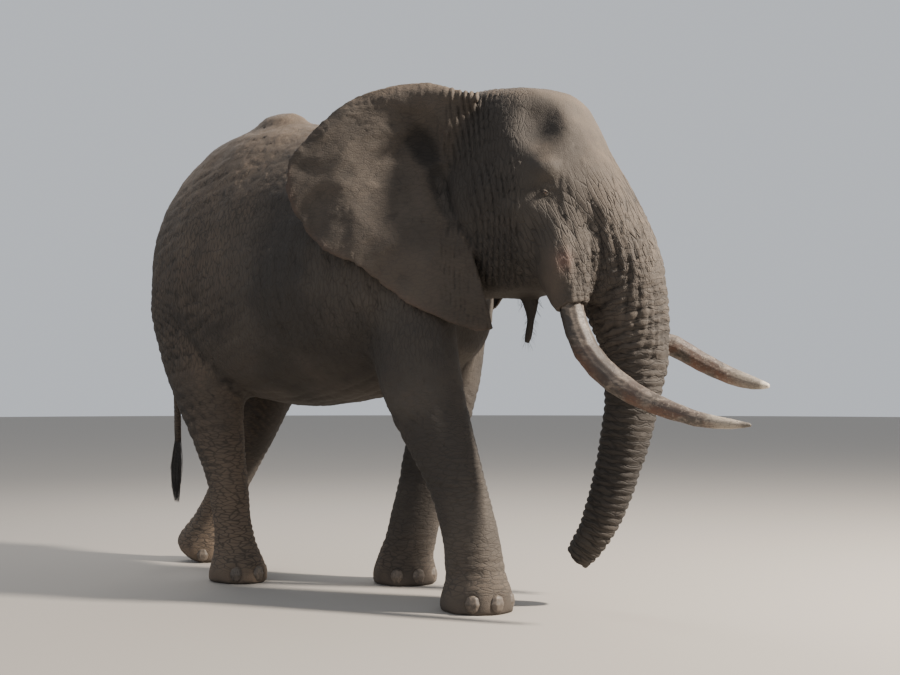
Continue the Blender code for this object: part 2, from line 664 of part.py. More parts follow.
def build():
    clear_scene()
    flesh = whole_flesh()
    ears = [ear(side, flesh) for side in SIDES]
    pieces = part_head(flesh)
    pieces["neck"] = take(flesh, "neck", NECK_OUTLINE, "y", (-1, 1))
    pieces.update(part_legs(flesh))
    pieces["rump"] = take(flesh, "rump", [(-3, -1), (-0.55, -1), (-0.55, 4), (-3, 4)], "y", (-1, 1))
    pieces["chest"] = take(flesh, "chest", [(0.25, -1), (3, -1), (3, 4), (0.25, 4)], "y", (-1, 1))
    flesh.name = "barrel"
    pieces["barrel"] = flesh
    head = pieces["head"]
    for side in SIDES:
        boolean(head, tusk(side, GAP), "DIFFERENCE")
        pieces[f"tusk_{side}"] = tusk(side)
    for side in SIDES:
        ball, socket = eye(side, head), eye(side, head, GAP)
        boolean(head, socket, "DIFFERENCE")
        pieces[f"eye_{side}"] = ball
    for one in ears:
        side = one.name.split("_")[1]
        for neighbour in ("head", "neck", "jaw", "chest", f"foreleg_{side}_upper"):
            if touching(one, pieces[neighbour]):
                boolean(one, swollen(pieces[neighbour]), "DIFFERENCE")
        pieces[one.name] = one
    lip = tube("lower_lip", LOWER_LIP, sides=8, steps=2)
    lip.data.transform(head_to_body())
    pieces["lower_lip"] = boolean(lip, swollen(pieces["jaw"]), "DIFFERENCE")
    tail = boolean(tube("tail_upper", TAIL, sides=8, steps=2), swollen(pieces["rump"]), "DIFFERENCE")
    pieces["tail_upper"] = tail
    lower = take(tail, "tail_lower", below(TAIL_SPLIT), "y", (-1, 1))
    pieces["tail_lower"] = boolean(lower, prism(below(BRUSH_TOP), "y", (-1, 1), GAP), "DIFFERENCE")
    brush = tube("tail_brush", TAIL_BRUSH, sides=8, steps=2)
    pieces["tail_brush"] = boolean(brush, prism(below(BRUSH_TOP), "y", (-1, 1)), "INTERSECT")
    finish(pieces)


def material(name, colour, roughness):
    made = bpy.data.materials.new(name)
    made.use_nodes = True
    shader = made.node_tree.nodes["Principled BSDF"]
    shader.inputs["Base Color"].default_value = (*colour, 1)
    shader.inputs["Roughness"].default_value = roughness
    made.diffuse_color = (*colour, 1)
    return made


def finish(pieces):
    """Names, materials and the final place of each piece."""
    materials = {name: material(name, *look) for name, look in MATERIALS.items()}
    for name, piece in pieces.items():
        keep_largest(piece)
        piece.name = piece.data.name = name
        piece.data.materials.clear()
        kind = next((slot for start, slot in MATERIAL_OF.items() if name.startswith(start)), "skin")
        piece.data.materials.append(materials[kind])
        piece.data.transform(Matrix.Translation(ORIGIN_SHIFT))
        print(f"{name:24s} {sum(len(face.vertices) - 2 for face in piece.data.polygons):5d} triangles")
    print("in all", sum(sum(len(f.vertices) - 2 for f in piece.data.polygons) for piece in pieces.values()))


if __name__ == "__main__":
    build()
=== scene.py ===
# %% [markdown]
# # A walking African bush elephant, life size
#
# This lesson dresses the solids of a museum model of an elephant bull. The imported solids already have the
# right size and pose, but they are faceted and stand apart by thin gaps. Here they are fused into one
# skin, and the skin is smoothed, folded and wrinkled. Eyes, tusks, toenails and tail hair are then made
# as pieces of their own. Everything is in metres: +X is where the animal walks, +Y is its left side, and
# the floor is z = 0.

# %% Load the solids
import itertools
import math

import bpy
import numpy as np
from mathutils import Matrix, Vector
from mathutils.bvhtree import BVHTree


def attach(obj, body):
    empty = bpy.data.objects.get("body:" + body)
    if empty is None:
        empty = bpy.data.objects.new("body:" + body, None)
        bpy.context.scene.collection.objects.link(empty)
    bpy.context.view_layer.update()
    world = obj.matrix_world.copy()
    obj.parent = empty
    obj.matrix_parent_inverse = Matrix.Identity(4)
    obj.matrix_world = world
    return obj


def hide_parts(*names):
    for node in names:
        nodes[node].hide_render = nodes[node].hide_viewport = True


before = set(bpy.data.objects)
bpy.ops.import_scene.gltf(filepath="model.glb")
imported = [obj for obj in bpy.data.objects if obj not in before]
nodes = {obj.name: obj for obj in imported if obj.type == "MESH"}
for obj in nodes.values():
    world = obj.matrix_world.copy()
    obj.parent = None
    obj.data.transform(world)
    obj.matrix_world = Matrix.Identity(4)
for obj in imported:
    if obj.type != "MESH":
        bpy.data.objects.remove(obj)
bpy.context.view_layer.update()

# %% [markdown]
# ## Floor, light and camera
#
# The animal stands on a plain pale floor. The sun of the savannah is replaced by one warm lamp ahead of
# the animal, high up and somewhat to its left, so that forehead, trunk and the spread ear catch the light
# while the near flank stays in shade. It is narrow, so its shadows keep a fairly clear edge. A wide pale
# sky and two wide weaker lamps fill the shade. The camera stands low, 1.4 m above the floor, ahead of the
# animal's right shoulder.

# %% Floor and sky
CAMERA_AT = Vector((6.015, -7.305, 1.40))
VIEW_HEADING = Vector((-0.616, 0.788, 0.0)).normalized()
VIEW_PITCH = math.radians(2.14)
LENS = 54.0
FLOOR_RADIUS = 60.0
FLOOR_COLOUR = (0.33, 0.305, 0.275)
SKY_COLOUR = (0.80, 0.84, 0.90)
SKY_STRENGTH = 0.75


def plain_material(name, colour, roughness):
    made = bpy.data.materials.new(name)
    made.use_nodes = True
    shader = made.node_tree.nodes["Principled BSDF"]
    shader.inputs["Base Color"].default_value = (*colour, 1)
    shader.inputs["Roughness"].default_value = roughness
    return made


def linked(made):
    bpy.context.scene.collection.objects.link(made)
    return made


bpy.ops.object.select_all(action="DESELECT")
bpy.ops.mesh.primitive_circle_add(vertices=96, radius=FLOOR_RADIUS, fill_type="NGON", location=(0, 0, 0))
floor = bpy.context.object
floor.name = "floor"
floor.data.materials.append(plain_material("pale_floor", FLOOR_COLOUR, 0.9))

world = bpy.data.worlds.new("sky")
world.use_nodes = True
world.node_tree.nodes["Background"].inputs["Color"].default_value = (*SKY_COLOUR, 1)
world.node_tree.nodes["Background"].inputs["Strength"].default_value = SKY_STRENGTH
bpy.context.scene.world = world

# %% Lamps and camera
LAMPS = {   # place, aim, width, watts, colour
    "key": ((9.0, 3.4, 8.0), (0.6, 0.0, 2.2), 0.6, 5000.0, (1.0, 0.90, 0.78)),
    "fill": ((2.0, -11.0, 5.0), (0.0, 0.0, 1.6), 7.0, 90.0, (0.90, 0.94, 1.0)),
    "back": ((-6.0, 3.0, 8.0), (-0.8, 0.0, 2.6), 4.0, 420.0, (1.0, 0.95, 0.90)),
}
for name, (place, aim, width, watts, colour) in LAMPS.items():
    lamp = linked(bpy.data.objects.new(name, bpy.data.lights.new(name, "AREA")))
    lamp.data.size = width
    lamp.data.energy = watts
    lamp.data.color = colour
    lamp.location = place
    lamp.rotation_euler = (Vector(aim) - Vector(place)).to_track_quat("-Z", "Y").to_euler()

camera = linked(bpy.data.objects.new("camera", bpy.data.cameras.new("camera")))
camera.data.lens = LENS
camera.location = CAMERA_AT
looking = VIEW_HEADING * math.cos(VIEW_PITCH) + Vector((0, 0, math.sin(VIEW_PITCH)))
camera.rotation_euler = looking.to_track_quat("-Z", "Y").to_euler()
bpy.context.scene.camera = camera
print("camera", tuple(camera.location), "lamps", list(LAMPS))

# %% [markdown]
# ## Tools for the skin
#
# A modelling program's sculpt brushes move points along the skin. In a script the same is done with
# arrays: one row for each point of the mesh. The few helpers below select and change whole pieces, read
# and write a mesh's points as arrays, average a value with that of neighbouring points, and make two
# kinds of fixed random pattern: soft noise and the borders between random cells, which look much like the
# cracks of dry skin.


# %% Helpers for pieces
def only(*pieces):
    bpy.ops.object.select_all(action="DESELECT")
    for piece in pieces:
        piece.select_set(True)
    bpy.context.view_layer.objects.active = pieces[0]


def use(piece, kind, **settings):
    """Gives a piece a modifier and applies it at once."""
    only(piece)
    modifier = piece.modifiers.new(kind.title(), kind)
    for name, value in settings.items():
        setattr(modifier, name, value)
    bpy.ops.object.modifier_apply(modifier=modifier.name)
    return piece


def copied(names, title):
    """One new piece from copies of solids, each with its loose triangles merged."""
    made = [linked(bpy.data.objects.new(title, nodes[name].data.copy())) for name in names]
    only(*made)
    bpy.ops.object.join()
    bpy.ops.object.mode_set(mode="EDIT")
    bpy.ops.mesh.select_all(action="SELECT")
    bpy.ops.mesh.remove_doubles(threshold=0.0001)
    bpy.ops.object.mode_set(mode="OBJECT")
    return made[0]


SWELL = 0.001       # closes the 0.5 mm cuts between the solids


def fused(piece, size):
    """Swells a piece over its thin gaps and rebuilds its outside as one even grid of small squares."""
    use(piece, "DISPLACE", strength=SWELL, mid_level=0.0)
    return use(piece, "REMESH", mode="VOXEL", voxel_size=size)


def coated(piece, material):
    """Gives a piece one material and soft shading."""
    piece.data.materials.clear()
    piece.data.materials.append(material)
    only(piece)
    bpy.ops.object.shade_smooth()


# %% Helpers for points
def points_of(piece):
    flat = np.empty(len(piece.data.vertices) * 3, np.float32)
    piece.data.vertices.foreach_get("co", flat)
    return flat.reshape(-1, 3).astype(float)


def set_points(piece, points):
    piece.data.vertices.foreach_set("co", points.astype(np.float32).ravel())
    piece.data.update()


def normals_of(piece):
    flat = np.empty(len(piece.data.vertices) * 3, np.float32)
    piece.data.vertex_normals.foreach_get("vector", flat)
    return flat.reshape(-1, 3).astype(float)


class Neighbours:
    """Averages a value over each point's neighbours along the edges of a mesh."""

    def __init__(self, piece):
        ends = np.empty(len(piece.data.edges) * 2, np.int64)
        piece.data.edges.foreach_get("vertices", ends)
        ends = ends.reshape(-1, 2)
        here = np.concatenate([ends[:, 0], ends[:, 1]])
        there = np.concatenate([ends[:, 1], ends[:, 0]])
        order = np.argsort(here, kind="stable")
        self.there = there[order]
        self.count = np.bincount(here, minlength=len(piece.data.vertices))
        self.start = np.concatenate([[0], np.cumsum(self.count)[:-1]])

    def mean(self, values):
        total = np.add.reduceat(values[self.there], self.start, axis=0)
        return total / (self.count if values.ndim == 1 else self.count[:, None]).astype(values.dtype)

    def soften(self, values, rounds):
        for _ in range(rounds):
            values = 0.5 * values + 0.5 * self.mean(values)
        return values


STEP_IN, STEP_OUT = 0.55, -0.57


def smoothed(piece, rounds, weight=1.0):
    """Evens out a surface without shrinking it: each step in is followed by a slightly longer step out."""
    near, points = Neighbours(piece), points_of(piece)
    weight = np.broadcast_to(weight, len(points))[:, None]
    for _ in range(rounds):
        for step in (STEP_IN, STEP_OUT):
            points += step * weight * (near.mean(points) - points)
    set_points(piece, points)
    return piece


# %% Fixed random patterns
def lattice(cells, seed):
    """A fixed random number from 0 to 1 for each whole-numbered cell."""
    x, y, z = cells[:, 0], cells[:, 1], cells[:, 2]
    mixed = (x * 73856093) ^ (y * 19349663) ^ (z * 83492791) ^ (seed * 1013904223 + 12345)
    mixed = ((mixed ^ (mixed >> 13)) * 1274126177) & 0x7FFFFFFF
    mixed = ((mixed ^ (mixed >> 15)) * 1103515245) & 0x7FFFFFFF
    return (mixed >> 7) / float(1 << 24)


def noise(points, size, seed=0):
    """Soft noise from -1 to 1, with lumps about one size across."""
    place = points / size
    cell = np.floor(place).astype(np.int64)
    part = place - cell
    part = part * part * (3 - 2 * part)
    total = np.zeros(len(points))
    for corner in itertools.product((0, 1), repeat=3):
        share = np.prod(np.where(corner, part, 1 - part), axis=1)
        total += share * lattice(cell + np.array(corner), seed)
    return total * 2 - 1


def cell_borders(points, size, seed=0):
    """0 on the borders between random cells, rising to about 1 in their middles."""
    place = points / size
    cell = np.floor(place).astype(np.int64)
    nearest = np.full(len(points), 9.0)
    second = nearest.copy()
    for step in itertools.product((-1, 0, 1), repeat=3):
        here = cell + np.array(step)
        heart = here + np.stack([lattice(here, seed + k) for k in range(3)], axis=1)
        far = np.sqrt(((place - heart) ** 2).sum(axis=1))
        second = np.minimum(second, np.maximum(nearest, far))
        nearest = np.minimum(nearest, far)
    return second - nearest


def ramp(values, start, end):
    """0 before start and 1 past end, with a soft step between. Start may be the larger."""
    share = np.clip((values - start) / (end - start), 0, 1)
    return share * share * (3 - 2 * share)


def bump(values, middle, width):
    return np.exp(-((values - middle) / width) ** 2)


# %% [markdown]
# ## One skin from many solids
#
# The real animal has one hide from trunk tip to tail. Skinning the solids one by one would leave seams,
# so copies of them are joined and rebuilt by a voxel remesh, which keeps only the outside. A coarse grid
# is enough for the bulky body, and evening it out removes the facets. The ears, tail and lip are too thin
# for that grid, so they are rebuilt on a finer one. All of it is then fused once more on a grid fine
# enough to carry folds.

# %% Body, then thin parts, then one skin
LEGS = [f"{kind}_{side}" for kind in ("foreleg", "hindleg") for side in ("right", "left")]
BULK = ["head", "jaw", "neck", "chest", "barrel", "rump", "trunk_1", "trunk_2", "trunk_3", "trunk_4"]
BULK += [f"{leg}_{part}" for leg in LEGS for part in ("upper", "lower", "foot")]
THIN = ["ear_right", "ear_left", "tail_upper", "tail_lower", "lower_lip"]
BULK_GRID = 0.028
THIN_GRID = 0.009
SKIN_GRID = 0.0115

skin = fused(copied(BULK, "skin"), BULK_GRID)
smoothed(skin, 14)
use(skin, "SUBSURF", levels=1, render_levels=1)
thin = fused(copied(THIN, "thin"), THIN_GRID)
smoothed(thin, 40)
only(skin, thin)
bpy.ops.object.join()
use(skin, "REMESH", mode="VOXEL", voxel_size=SKIN_GRID)
print("skin before folds:", len(skin.data.vertices), "points")

# %% [markdown]
# ## A map of the skin
#
# Folds follow the body: rings go round the trunk, creases run down the cheeks and across the wrists, and
# the ear has a rim of its own. A sculptor sees where the brush is; a script needs a map instead. Each
# point takes the name of the nearest solid, and gets coordinates that follow the head, the trunk and each
# ear. The lines that these coordinates run along are those that the solids were built on.

# %% Zones of the body
ZONES = {
    "head": ["head", "jaw", "lower_lip"], "trunk": [f"trunk_{k}" for k in (1, 2, 3, 4)],
    "ear_right": ["ear_right"], "ear_left": ["ear_left"], "body": ["neck", "chest", "barrel", "rump"],
    "upper": [f"{leg}_upper" for leg in LEGS], "shank": [f"{leg}_lower" for leg in LEGS],
    "foot": [f"{leg}_foot" for leg in LEGS], "tail": ["tail_upper", "tail_lower"],
}
corners, faces, zone_of_face = [], [], []
for index, names in enumerate(ZONES.values()):
    for name in names:
        mesh = nodes[name].data
        faces += [[len(corners) + corner for corner in face.vertices] for face in mesh.polygons]
        zone_of_face += [index] * len(mesh.polygons)
        corners += [tuple(nodes[name].matrix_world @ vertex.co) for vertex in mesh.vertices]
zone_of_face = np.array(zone_of_face)
flesh_tree = BVHTree.FromPolygons(corners, faces)
print("zones:", {name: int((zone_of_face == k).sum()) for k, name in enumerate(ZONES)})

# %% Lines that the coordinates follow
HEAD_AT = np.array((0.645, -0.065, 0.0))    # the head's pivot, on the floor
HEAD_TURN = math.radians(15)
TRUNK_LINE = [      # forward and height, in the head's own frame
    (0.30, 3.12), (0.45, 3.01), (0.59, 2.81), (0.75, 2.51), (0.90, 2.21), (0.98, 1.92),
    (1.035, 1.60), (1.005, 1.28),
    (0.94, 0.98), (0.86, 0.70), (0.76, 0.46), (0.63, 0.285),
]
EAR_AT = {"right": (-0.05, -0.41), "left": (-0.16, 0.36)}
EAR_FLARE = {"right": math.radians(20), "left": math.radians(64)}
EAR_SWING = {"right": 0.0, "left": math.radians(42)}
EAR_SWING_HEIGHT = 2.55
EAR_RIM = [         # outwards along the ear and height
    (-0.19, 3.31), (0.01, 3.365), (0.17, 3.385), (0.36, 3.375), (0.52, 3.34), (0.68, 3.28),
    (0.84, 3.15), (1.00, 2.99),
    (1.11, 2.82), (1.08, 2.62), (1.00, 2.45), (0.88, 2.31), (0.77, 2.25), (0.63, 2.19),
    (0.53, 2.10), (0.42, 2.03),
    (0.33, 1.96), (0.17, 1.88), (0.01, 1.81), (-0.14, 1.76),
]


def even_line(rows, spacing):
    """Evenly spaced points along a line through the rows, with its corners rounded."""
    rows = np.array(rows)
    length = np.concatenate([[0], np.cumsum(np.linalg.norm(np.diff(rows, axis=0), axis=1))])
    places = np.linspace(0, length[-1], int(length[-1] / spacing) + 1)
    line = np.stack([np.interp(places, length, column) for column in rows.T], axis=1)
    for _ in range(12):
        line[1:-1] = 0.5 * line[1:-1] + 0.25 * (line[:-2] + line[2:])
    return line


BATCH = 20000       # points compared with a line at a time, to save memory


def along_line(flat, line, here):
    """Length along a flat line, and distance to its left, of the place nearest to each point wanted here."""
    both = np.zeros((2, len(flat)))
    flat = flat[here]
    step = np.diff(line, axis=0)
    size = np.linalg.norm(step, axis=1)
    start = np.concatenate([[0], np.cumsum(size)])
    middles = (line[:-1] + line[1:]) / 2
    nearest = np.empty(len(flat), np.int64)
    for first in range(0, len(flat), BATCH):
        part = flat[first:first + BATCH, None, :] - middles[None]
        nearest[first:first + BATCH] = (part ** 2).sum(axis=2).argmin(axis=1)
    offset, heading = flat - line[nearest], step[nearest] / size[nearest, None]
    length = (offset * heading).sum(axis=1)
    both[:, here] = start[nearest] + length, heading[:, 0] * offset[:, 1] - heading[:, 1] * offset[:, 0]
    return both


def in_head(points):
    """The head's own frame: forward, to its left, and up."""
    cosine, sine = math.cos(HEAD_TURN), math.sin(HEAD_TURN)
    x, y, z = (points - HEAD_AT).T
    return np.stack([cosine * x + sine * y, cosine * y - sine * x, z], axis=1)


def swung_rim(side):
    rim = np.array(EAR_RIM)
    drop = np.maximum(0, EAR_SWING_HEIGHT - rim[:, 1])
    swing = EAR_SWING[side]
    return rim + np.stack([drop * math.sin(swing), drop * (1 - math.cos(swing))], axis=1)


trunk_line = even_line(TRUNK_LINE, 0.02)
rim_line = {side: even_line(swung_rim(side), 0.02) for side in EAR_AT}


# %% The survey
class Ear:
    """Coordinates on one ear: outwards from its root, height, and along and in from its rim."""

    def __init__(self, head, zone, side):
        sign = -1 if side == "right" else 1
        flare, base = EAR_FLARE[side], np.array(EAR_AT[side])
        self.outward = np.array((-math.cos(flare), sign * math.sin(flare), 0))
        self.facing = np.array((math.sin(flare), sign * math.cos(flare), 0))
        flat = head[:, :2] - base
        self.zone, self.height = zone, head[:, 2]
        self.reach = flat @ self.outward[:2]
        self.flat = np.stack([self.reach, self.height, 0 * self.reach], axis=1)
        self.along, inset = along_line(self.flat[:, :2].copy(), rim_line[side], zone > 0.001)
        self.inset = np.maximum(-inset, 0)


class Survey:
    """Where each point of a piece lies: its zones, and coordinates that follow head, trunk and ears."""

    def __init__(self, piece, rounds):
        self.near, self.points, self.normals = Neighbours(piece), points_of(piece), normals_of(piece)
        hot = np.zeros((len(self.points), len(ZONES)), np.float32)
        found = [flesh_tree.find_nearest(point)[2] for point in self.points.tolist()]
        hot[np.arange(len(hot)), zone_of_face[found]] = 1
        hot = self.near.soften(hot, rounds)
        self.zone = {name: hot[:, index].astype(float) for index, name in enumerate(ZONES)}
        self.head = in_head(self.points)
        self.folded = np.stack([self.head[:, 0], np.abs(self.head[:, 1]), self.head[:, 2]], axis=1)
        on_face = self.zone["trunk"] + self.zone["head"] > 0.001
        self.trunk_length, self.trunk_ahead = along_line(self.head[:, [0, 2]], trunk_line, on_face)
        self.trunk_angle = np.arctan2(self.head[:, 1], self.trunk_ahead)
        self.ears = {side: Ear(self.head, self.zone[f"ear_{side}"], side) for side in EAR_AT}


at = Survey(skin, 10)
seam = bump(at.head[:, 0], -0.02, 0.13) * ramp(at.head[:, 2], 2.80, 3.00) * ramp(at.zone["body"], 0.5, 0.1)
at.points += seam[:, None] * (at.near.soften(at.points, 130) - at.points)
off = (at.folded - (0.73, 0.28, 2.46)) / (0.16, 0.18, 0.24)
dell = np.exp(-(off ** 2).sum(axis=1))
evened = at.near.soften(at.points, 160) - at.points
at.points += dell[:, None] * evened + 0.016 * dell[:, None] * at.normals
set_points(skin, at.points)
at = Survey(skin, 10)
print("points where the ear flows into the head:", int((seam > 0.5).sum()))

# %% [markdown]
# ## Folds and wrinkles
#
# Every fold is a sum of a few kinds of pattern, each with a depth in metres and a soft mask for where it
# belongs: round hills and hollows for bone and muscle, creases in rows, and nets of cracks. The row of
# creases is made from a sine, bent so that its valleys are narrow and its ridges wide, as skin folds are.
# Noise makes the lines wander and fade in and out, so that none of them looks drawn. All depths are
# summed first, and the skin moves only once.


# %% Kinds of fold
def masked(pattern):
    """Works a pattern out only where its mask, the first value given, isn't zero, and multiplies by it."""
    def within(mask, *values, **settings):
        here = mask > 0.01 * mask.max()
        picked = [value[here] if isinstance(value, np.ndarray) else value for value in values]
        made = np.zeros(len(mask))
        made[here] = mask[here] * pattern(*picked, **settings)
        return made
    return within


@masked
def lumps(points, size, seed):
    return noise(points, size, seed)


@masked
def creases(points, across, spacing, seed, wander=0.45, sharp=0.6):
    """Narrow valleys, one for each spacing of the value across, that wander, fade in and fade out."""
    phase = across / spacing + wander * noise(points, 5 * spacing, seed)
    phase = phase + 0.25 * noise(points, 2 * spacing, seed + 5)
    fade = ramp(noise(points, 3.5 * spacing, seed + 1), -0.7, 0.1)
    return fade * (np.abs(np.sin(np.pi * phase)) ** sharp - 1)


@masked
def cracks(points, size, seed, width=0.22):
    """A net of narrow valleys between random cells."""
    return ramp(cell_borders(points, size, seed), 0, width) - 1


def hill(points, place, sizes):
    """A round hill at a place, 1 at its top, with its own half size along each axis."""
    return np.exp(-(((points - np.array(place)) / np.array(sizes)) ** 2).sum(axis=1))


def stroke(points, start, end, width):
    """A soft line from one place to another, 1 along its middle."""
    start, end = np.array(start), np.array(end)
    share = np.clip((points - start) @ (end - start) / ((end - start) ** 2).sum(), 0, 1)
    away = np.linalg.norm(points - start - share[:, None] * (end - start), axis=1)
    return np.exp(-(away / width) ** 2) * (0.25 + 0.75 * np.sin(np.pi * np.clip(share, 0.08, 0.92)))


def sheath_and_lip(folded):
    """Two smooth parts of the face: the lobe over the root of a tusk, and the lower lip."""
    lobe = hill(folded, (0.60, 0.42, 2.08), (0.12, 0.22, 0.27))
    return lobe, ramp(folded[:, 0], 0.58, 0.50) * ramp(folded[:, 2], 2.10, 1.98)


def ear_front(ear):
    """1 on the side of an ear that faces forward and out, 0 on its back."""
    return ramp(at.normals @ (turn_back @ ear.facing), -0.3, 0.3)


def ear_hollow(flat, upper_width, lower_width):
    upper_part = stroke(flat, (0.30, 3.13, 0), (0.10, 2.80, 0), upper_width)
    return np.maximum(upper_part, stroke(flat, (0.16, 2.92, 0), (0.0, 2.45, 0), lower_width))


# %% Body and legs
x, y, z = at.points.T
up = at.normals[:, 2]
flank = np.abs(y - HEAD_AT[1])
mirrored = np.stack([x, flank, z], axis=1)
body, upper, shank, foot = (at.zone[name] for name in ("body", "upper", "shank", "foot"))
trunkwise = body + upper
push = lumps(0.0085 * trunkwise, at.points, 0.42, 1)
push += lumps(0.0045 * (trunkwise + shank), at.points, 0.17, 2)
push += lumps(0.0016 * (trunkwise + shank), at.points, 0.06, 3)
push += 0.012 * bump(flank, 0, 0.06) * ramp(up, 0.5, 0.95) * body
push += 0.022 * hill(mirrored, (-1.05, 0.62, 2.62), (0.20, 0.3, 0.22)) * trunkwise
push -= 0.020 * hill(mirrored, (-0.62, 0.75, 2.50), (0.22, 0.3, 0.26)) * trunkwise
ribs = hill(mirrored, (-0.25, 0.8, 2.2), (0.55, 0.4, 0.45))
push += 0.004 * np.sin(x / 0.145 * 2 * np.pi + 0.5 * z) * ribs * body
print("broad forms within", round(float(np.abs(push).max()) * 1000), "mm")

# %% Folds of the flank, thigh and rump
side_mask = ramp(flank, 0.35, 0.6) * trunkwise
flank_depth = 0.011 * side_mask * bump(z, 1.95, 0.55) * bump(x, 0.0, 0.75)
push += creases(flank_depth, at.points, x + 0.22 * z, 0.085, 11)
push += creases(0.006 * side_mask * ramp(x, -0.4, -1.0), at.points, z - 0.35 * x, 0.10, 12)
rump_depth = 0.011 * trunkwise * ramp(x, -1.45, -1.75) * bump(z, 1.75, 0.5)
push += creases(rump_depth, at.points, z + 0.5 * x, 0.065, 13)
push += creases(0.007 * body * ramp(up, -0.3, -0.8), at.points, y + 0.2 * x, 0.11, 14)
push -= 0.018 * stroke(mirrored, (-1.60, 0.74, 2.06), (-1.24, 0.42, 1.30), 0.030) * trunkwise
push += 0.014 * stroke(mirrored, (-1.54, 0.70, 1.98), (-1.18, 0.45, 1.34), 0.07) * trunkwise
small_net = cracks(0.0024 * trunkwise, at.points * (1, 1, 0.6), 0.055, 15)
push += small_net + cracks(0.0022 * trunkwise, at.points * (1, 1, 0.7), 0.12, 18, 0.12)

# %% Wrinkles of the legs
leg = shank + foot
level = ramp(z, 0.10, 0.17)
wrist = np.minimum(bump(z, 0.78, 0.24) + bump(z, 0.30, 0.13), 1)
sagging = z + lumps(0.10 * leg, at.points, 0.5, 21)
push += creases(0.009 * wrist * leg * level, at.points, sagging, 0.052, 22)
upper_depth = 0.008 * upper * ramp(z, 1.65, 1.2) * ramp(z, 0.7, 1.0)
push += creases(upper_depth, at.points, z + 0.6 * (x + y), 0.075, 23)
push += cracks(0.0022 * (leg + upper) * level, at.points * (1, 1, 1.5), 0.05, 24)
push += creases(0.0035 * at.zone["tail"], at.points, z, 0.030, 26)
print("with folds within", round(float(np.abs(push).max()) * 1000), "mm")

# %% Trunk
RING_SPACING = (0.070, 0.0078)      # at the top, and how much less for each metre down


def ring_number(length):
    """Counts the rings down the trunk, which lie closer together towards its tip."""
    return -np.log(np.maximum(RING_SPACING[0] - RING_SPACING[1] * length, 0.02)) / RING_SPACING[1]


length, angle, turned = at.trunk_length, at.trunk_angle, at.head[:, 1]
sheath, lip = sheath_and_lip(at.folded)
face = np.clip(at.zone["trunk"] + at.zone["head"] * ramp(length, 0.2, 0.5), 0, 1)
face *= (1 - np.minimum(1.2 * sheath, 1)) * (1 - lip)
calm = face * (0.45 + 0.55 * ramp(length, 2.2, 1.5))
tilt = 0.45 * np.cos(angle) + lumps(0.26 * calm, at.points, 0.17, 31)
tilt += lumps(0.13 * calm, at.points, 0.07, 32)
rings = ring_number(length) + tilt
fade = 0.45 + 0.55 * np.maximum(ramp(lumps(face, at.points, 0.13, 33), -0.5, 0.3), ramp(length, 1.8, 2.4))
ring_like = face * (0.25 * ramp(length, 0.45, 1.1) + 0.75 * ramp(length, 1.0, 1.7))
push += 0.0135 * (np.abs(np.sin(np.pi * rings)) ** 0.75 - 1) * fade * ring_like * ramp(length, 3.35, 3.1)
beads = np.stack([turned, at.trunk_ahead, rings * 0.072], axis=1)
bead_depth = 0.0065 * face * ramp(length, 0.7, 1.2) * (0.3 + 0.7 * ramp(length, 2.1, 1.5))
push += cracks(bead_depth, beads, 0.072, 34, 0.22)
down_folds = face * ramp(length, 0.22, 0.55) * ramp(length, 2.0, 1.4) * ramp(at.head[:, 0], 0.62, 0.74)
down_way = turned * 0.9 + 0.3 * at.trunk_ahead + 0.10 * length
push += creases(0.0150 * down_folds, at.head * (1, 1, 0.35), down_way, 0.042, 36)
push += lumps(0.005 * face, at.points, 0.14, 35)
end = face * ramp(length, length.max() - 0.03, length.max() - 0.004)
tip = np.stack([turned, at.trunk_ahead, 0 * length], axis=1)
for side in (-0.032, 0.032):
    push -= 0.030 * hill(tip, (side, -0.004, 0), (0.026, 0.038, 1.0)) * end
fingers = hill(tip, (0, 0.085, 0), (0.035, 0.032, 1)) + 0.8 * hill(tip, (0, -0.085, 0), (0.05, 0.03, 1))
push += 0.026 * fingers * end
print("rings from", round(float(rings[face > 0.5].min())), "to", round(float(rings[face > 0.5].max())))

# %% Head
FACE_FORMS = [      # height or depth, kind, place and size
    (-0.013, hill, (0.51, 0.34, 2.99), (0.12, 0.14, 0.18)),
    (0.020, stroke, (0.44, 0.43, 2.79), (0.68, 0.37, 2.79), 0.055),
    (-0.014, stroke, (0.50, 0.42, 2.695), (0.64, 0.38, 2.70), 0.040),
    (-0.010, stroke, (0.63, 0.40, 2.66), (0.66, 0.38, 2.54), 0.040),
    (0.012, hill, (0.40, 0.42, 2.52), (0.13, 0.1, 0.10)),
    (0.020, hill, (0.64, 0.42, 2.12), (0.085, 0.12, 0.19)),
    (-0.026, stroke, (0.50, 0.42, 2.40), (0.505, 0.40, 1.93), 0.024),
    (-0.020, stroke, (0.75, 0.40, 2.36), (0.80, 0.37, 1.93), 0.022),
    (0.012, stroke, (0.71, 0.41, 2.32), (0.75, 0.39, 1.95), 0.026),
    (-0.014, stroke, (0.68, 0.40, 2.70), (0.86, 0.30, 2.36), 0.020),
    (-0.012, stroke, (0.64, 0.40, 2.56), (0.80, 0.34, 2.24), 0.018),
    (-0.010, stroke, (0.74, 0.36, 2.78), (0.92, 0.26, 2.40), 0.018),
]
head = at.zone["head"]
forward, height = at.head[:, 0], at.head[:, 2]
off_lip = np.maximum(ramp(height, 1.98, 2.06), ramp(forward, 0.45, 0.5))
skull = (head + at.zone["trunk"] * ramp(length, 1.4, 1.0)) * off_lip
for amount, form, *place in FACE_FORMS:
    push += amount * form(at.folded, *place) * skull
cheek = (head * ramp(forward, 0.02, 0.10) * ramp(forward, 0.48, 0.34)
         * ramp(height, 1.95, 2.15) * ramp(height, 3.0, 2.7))
bowed = forward + 0.45 * (height - 2.45) ** 2
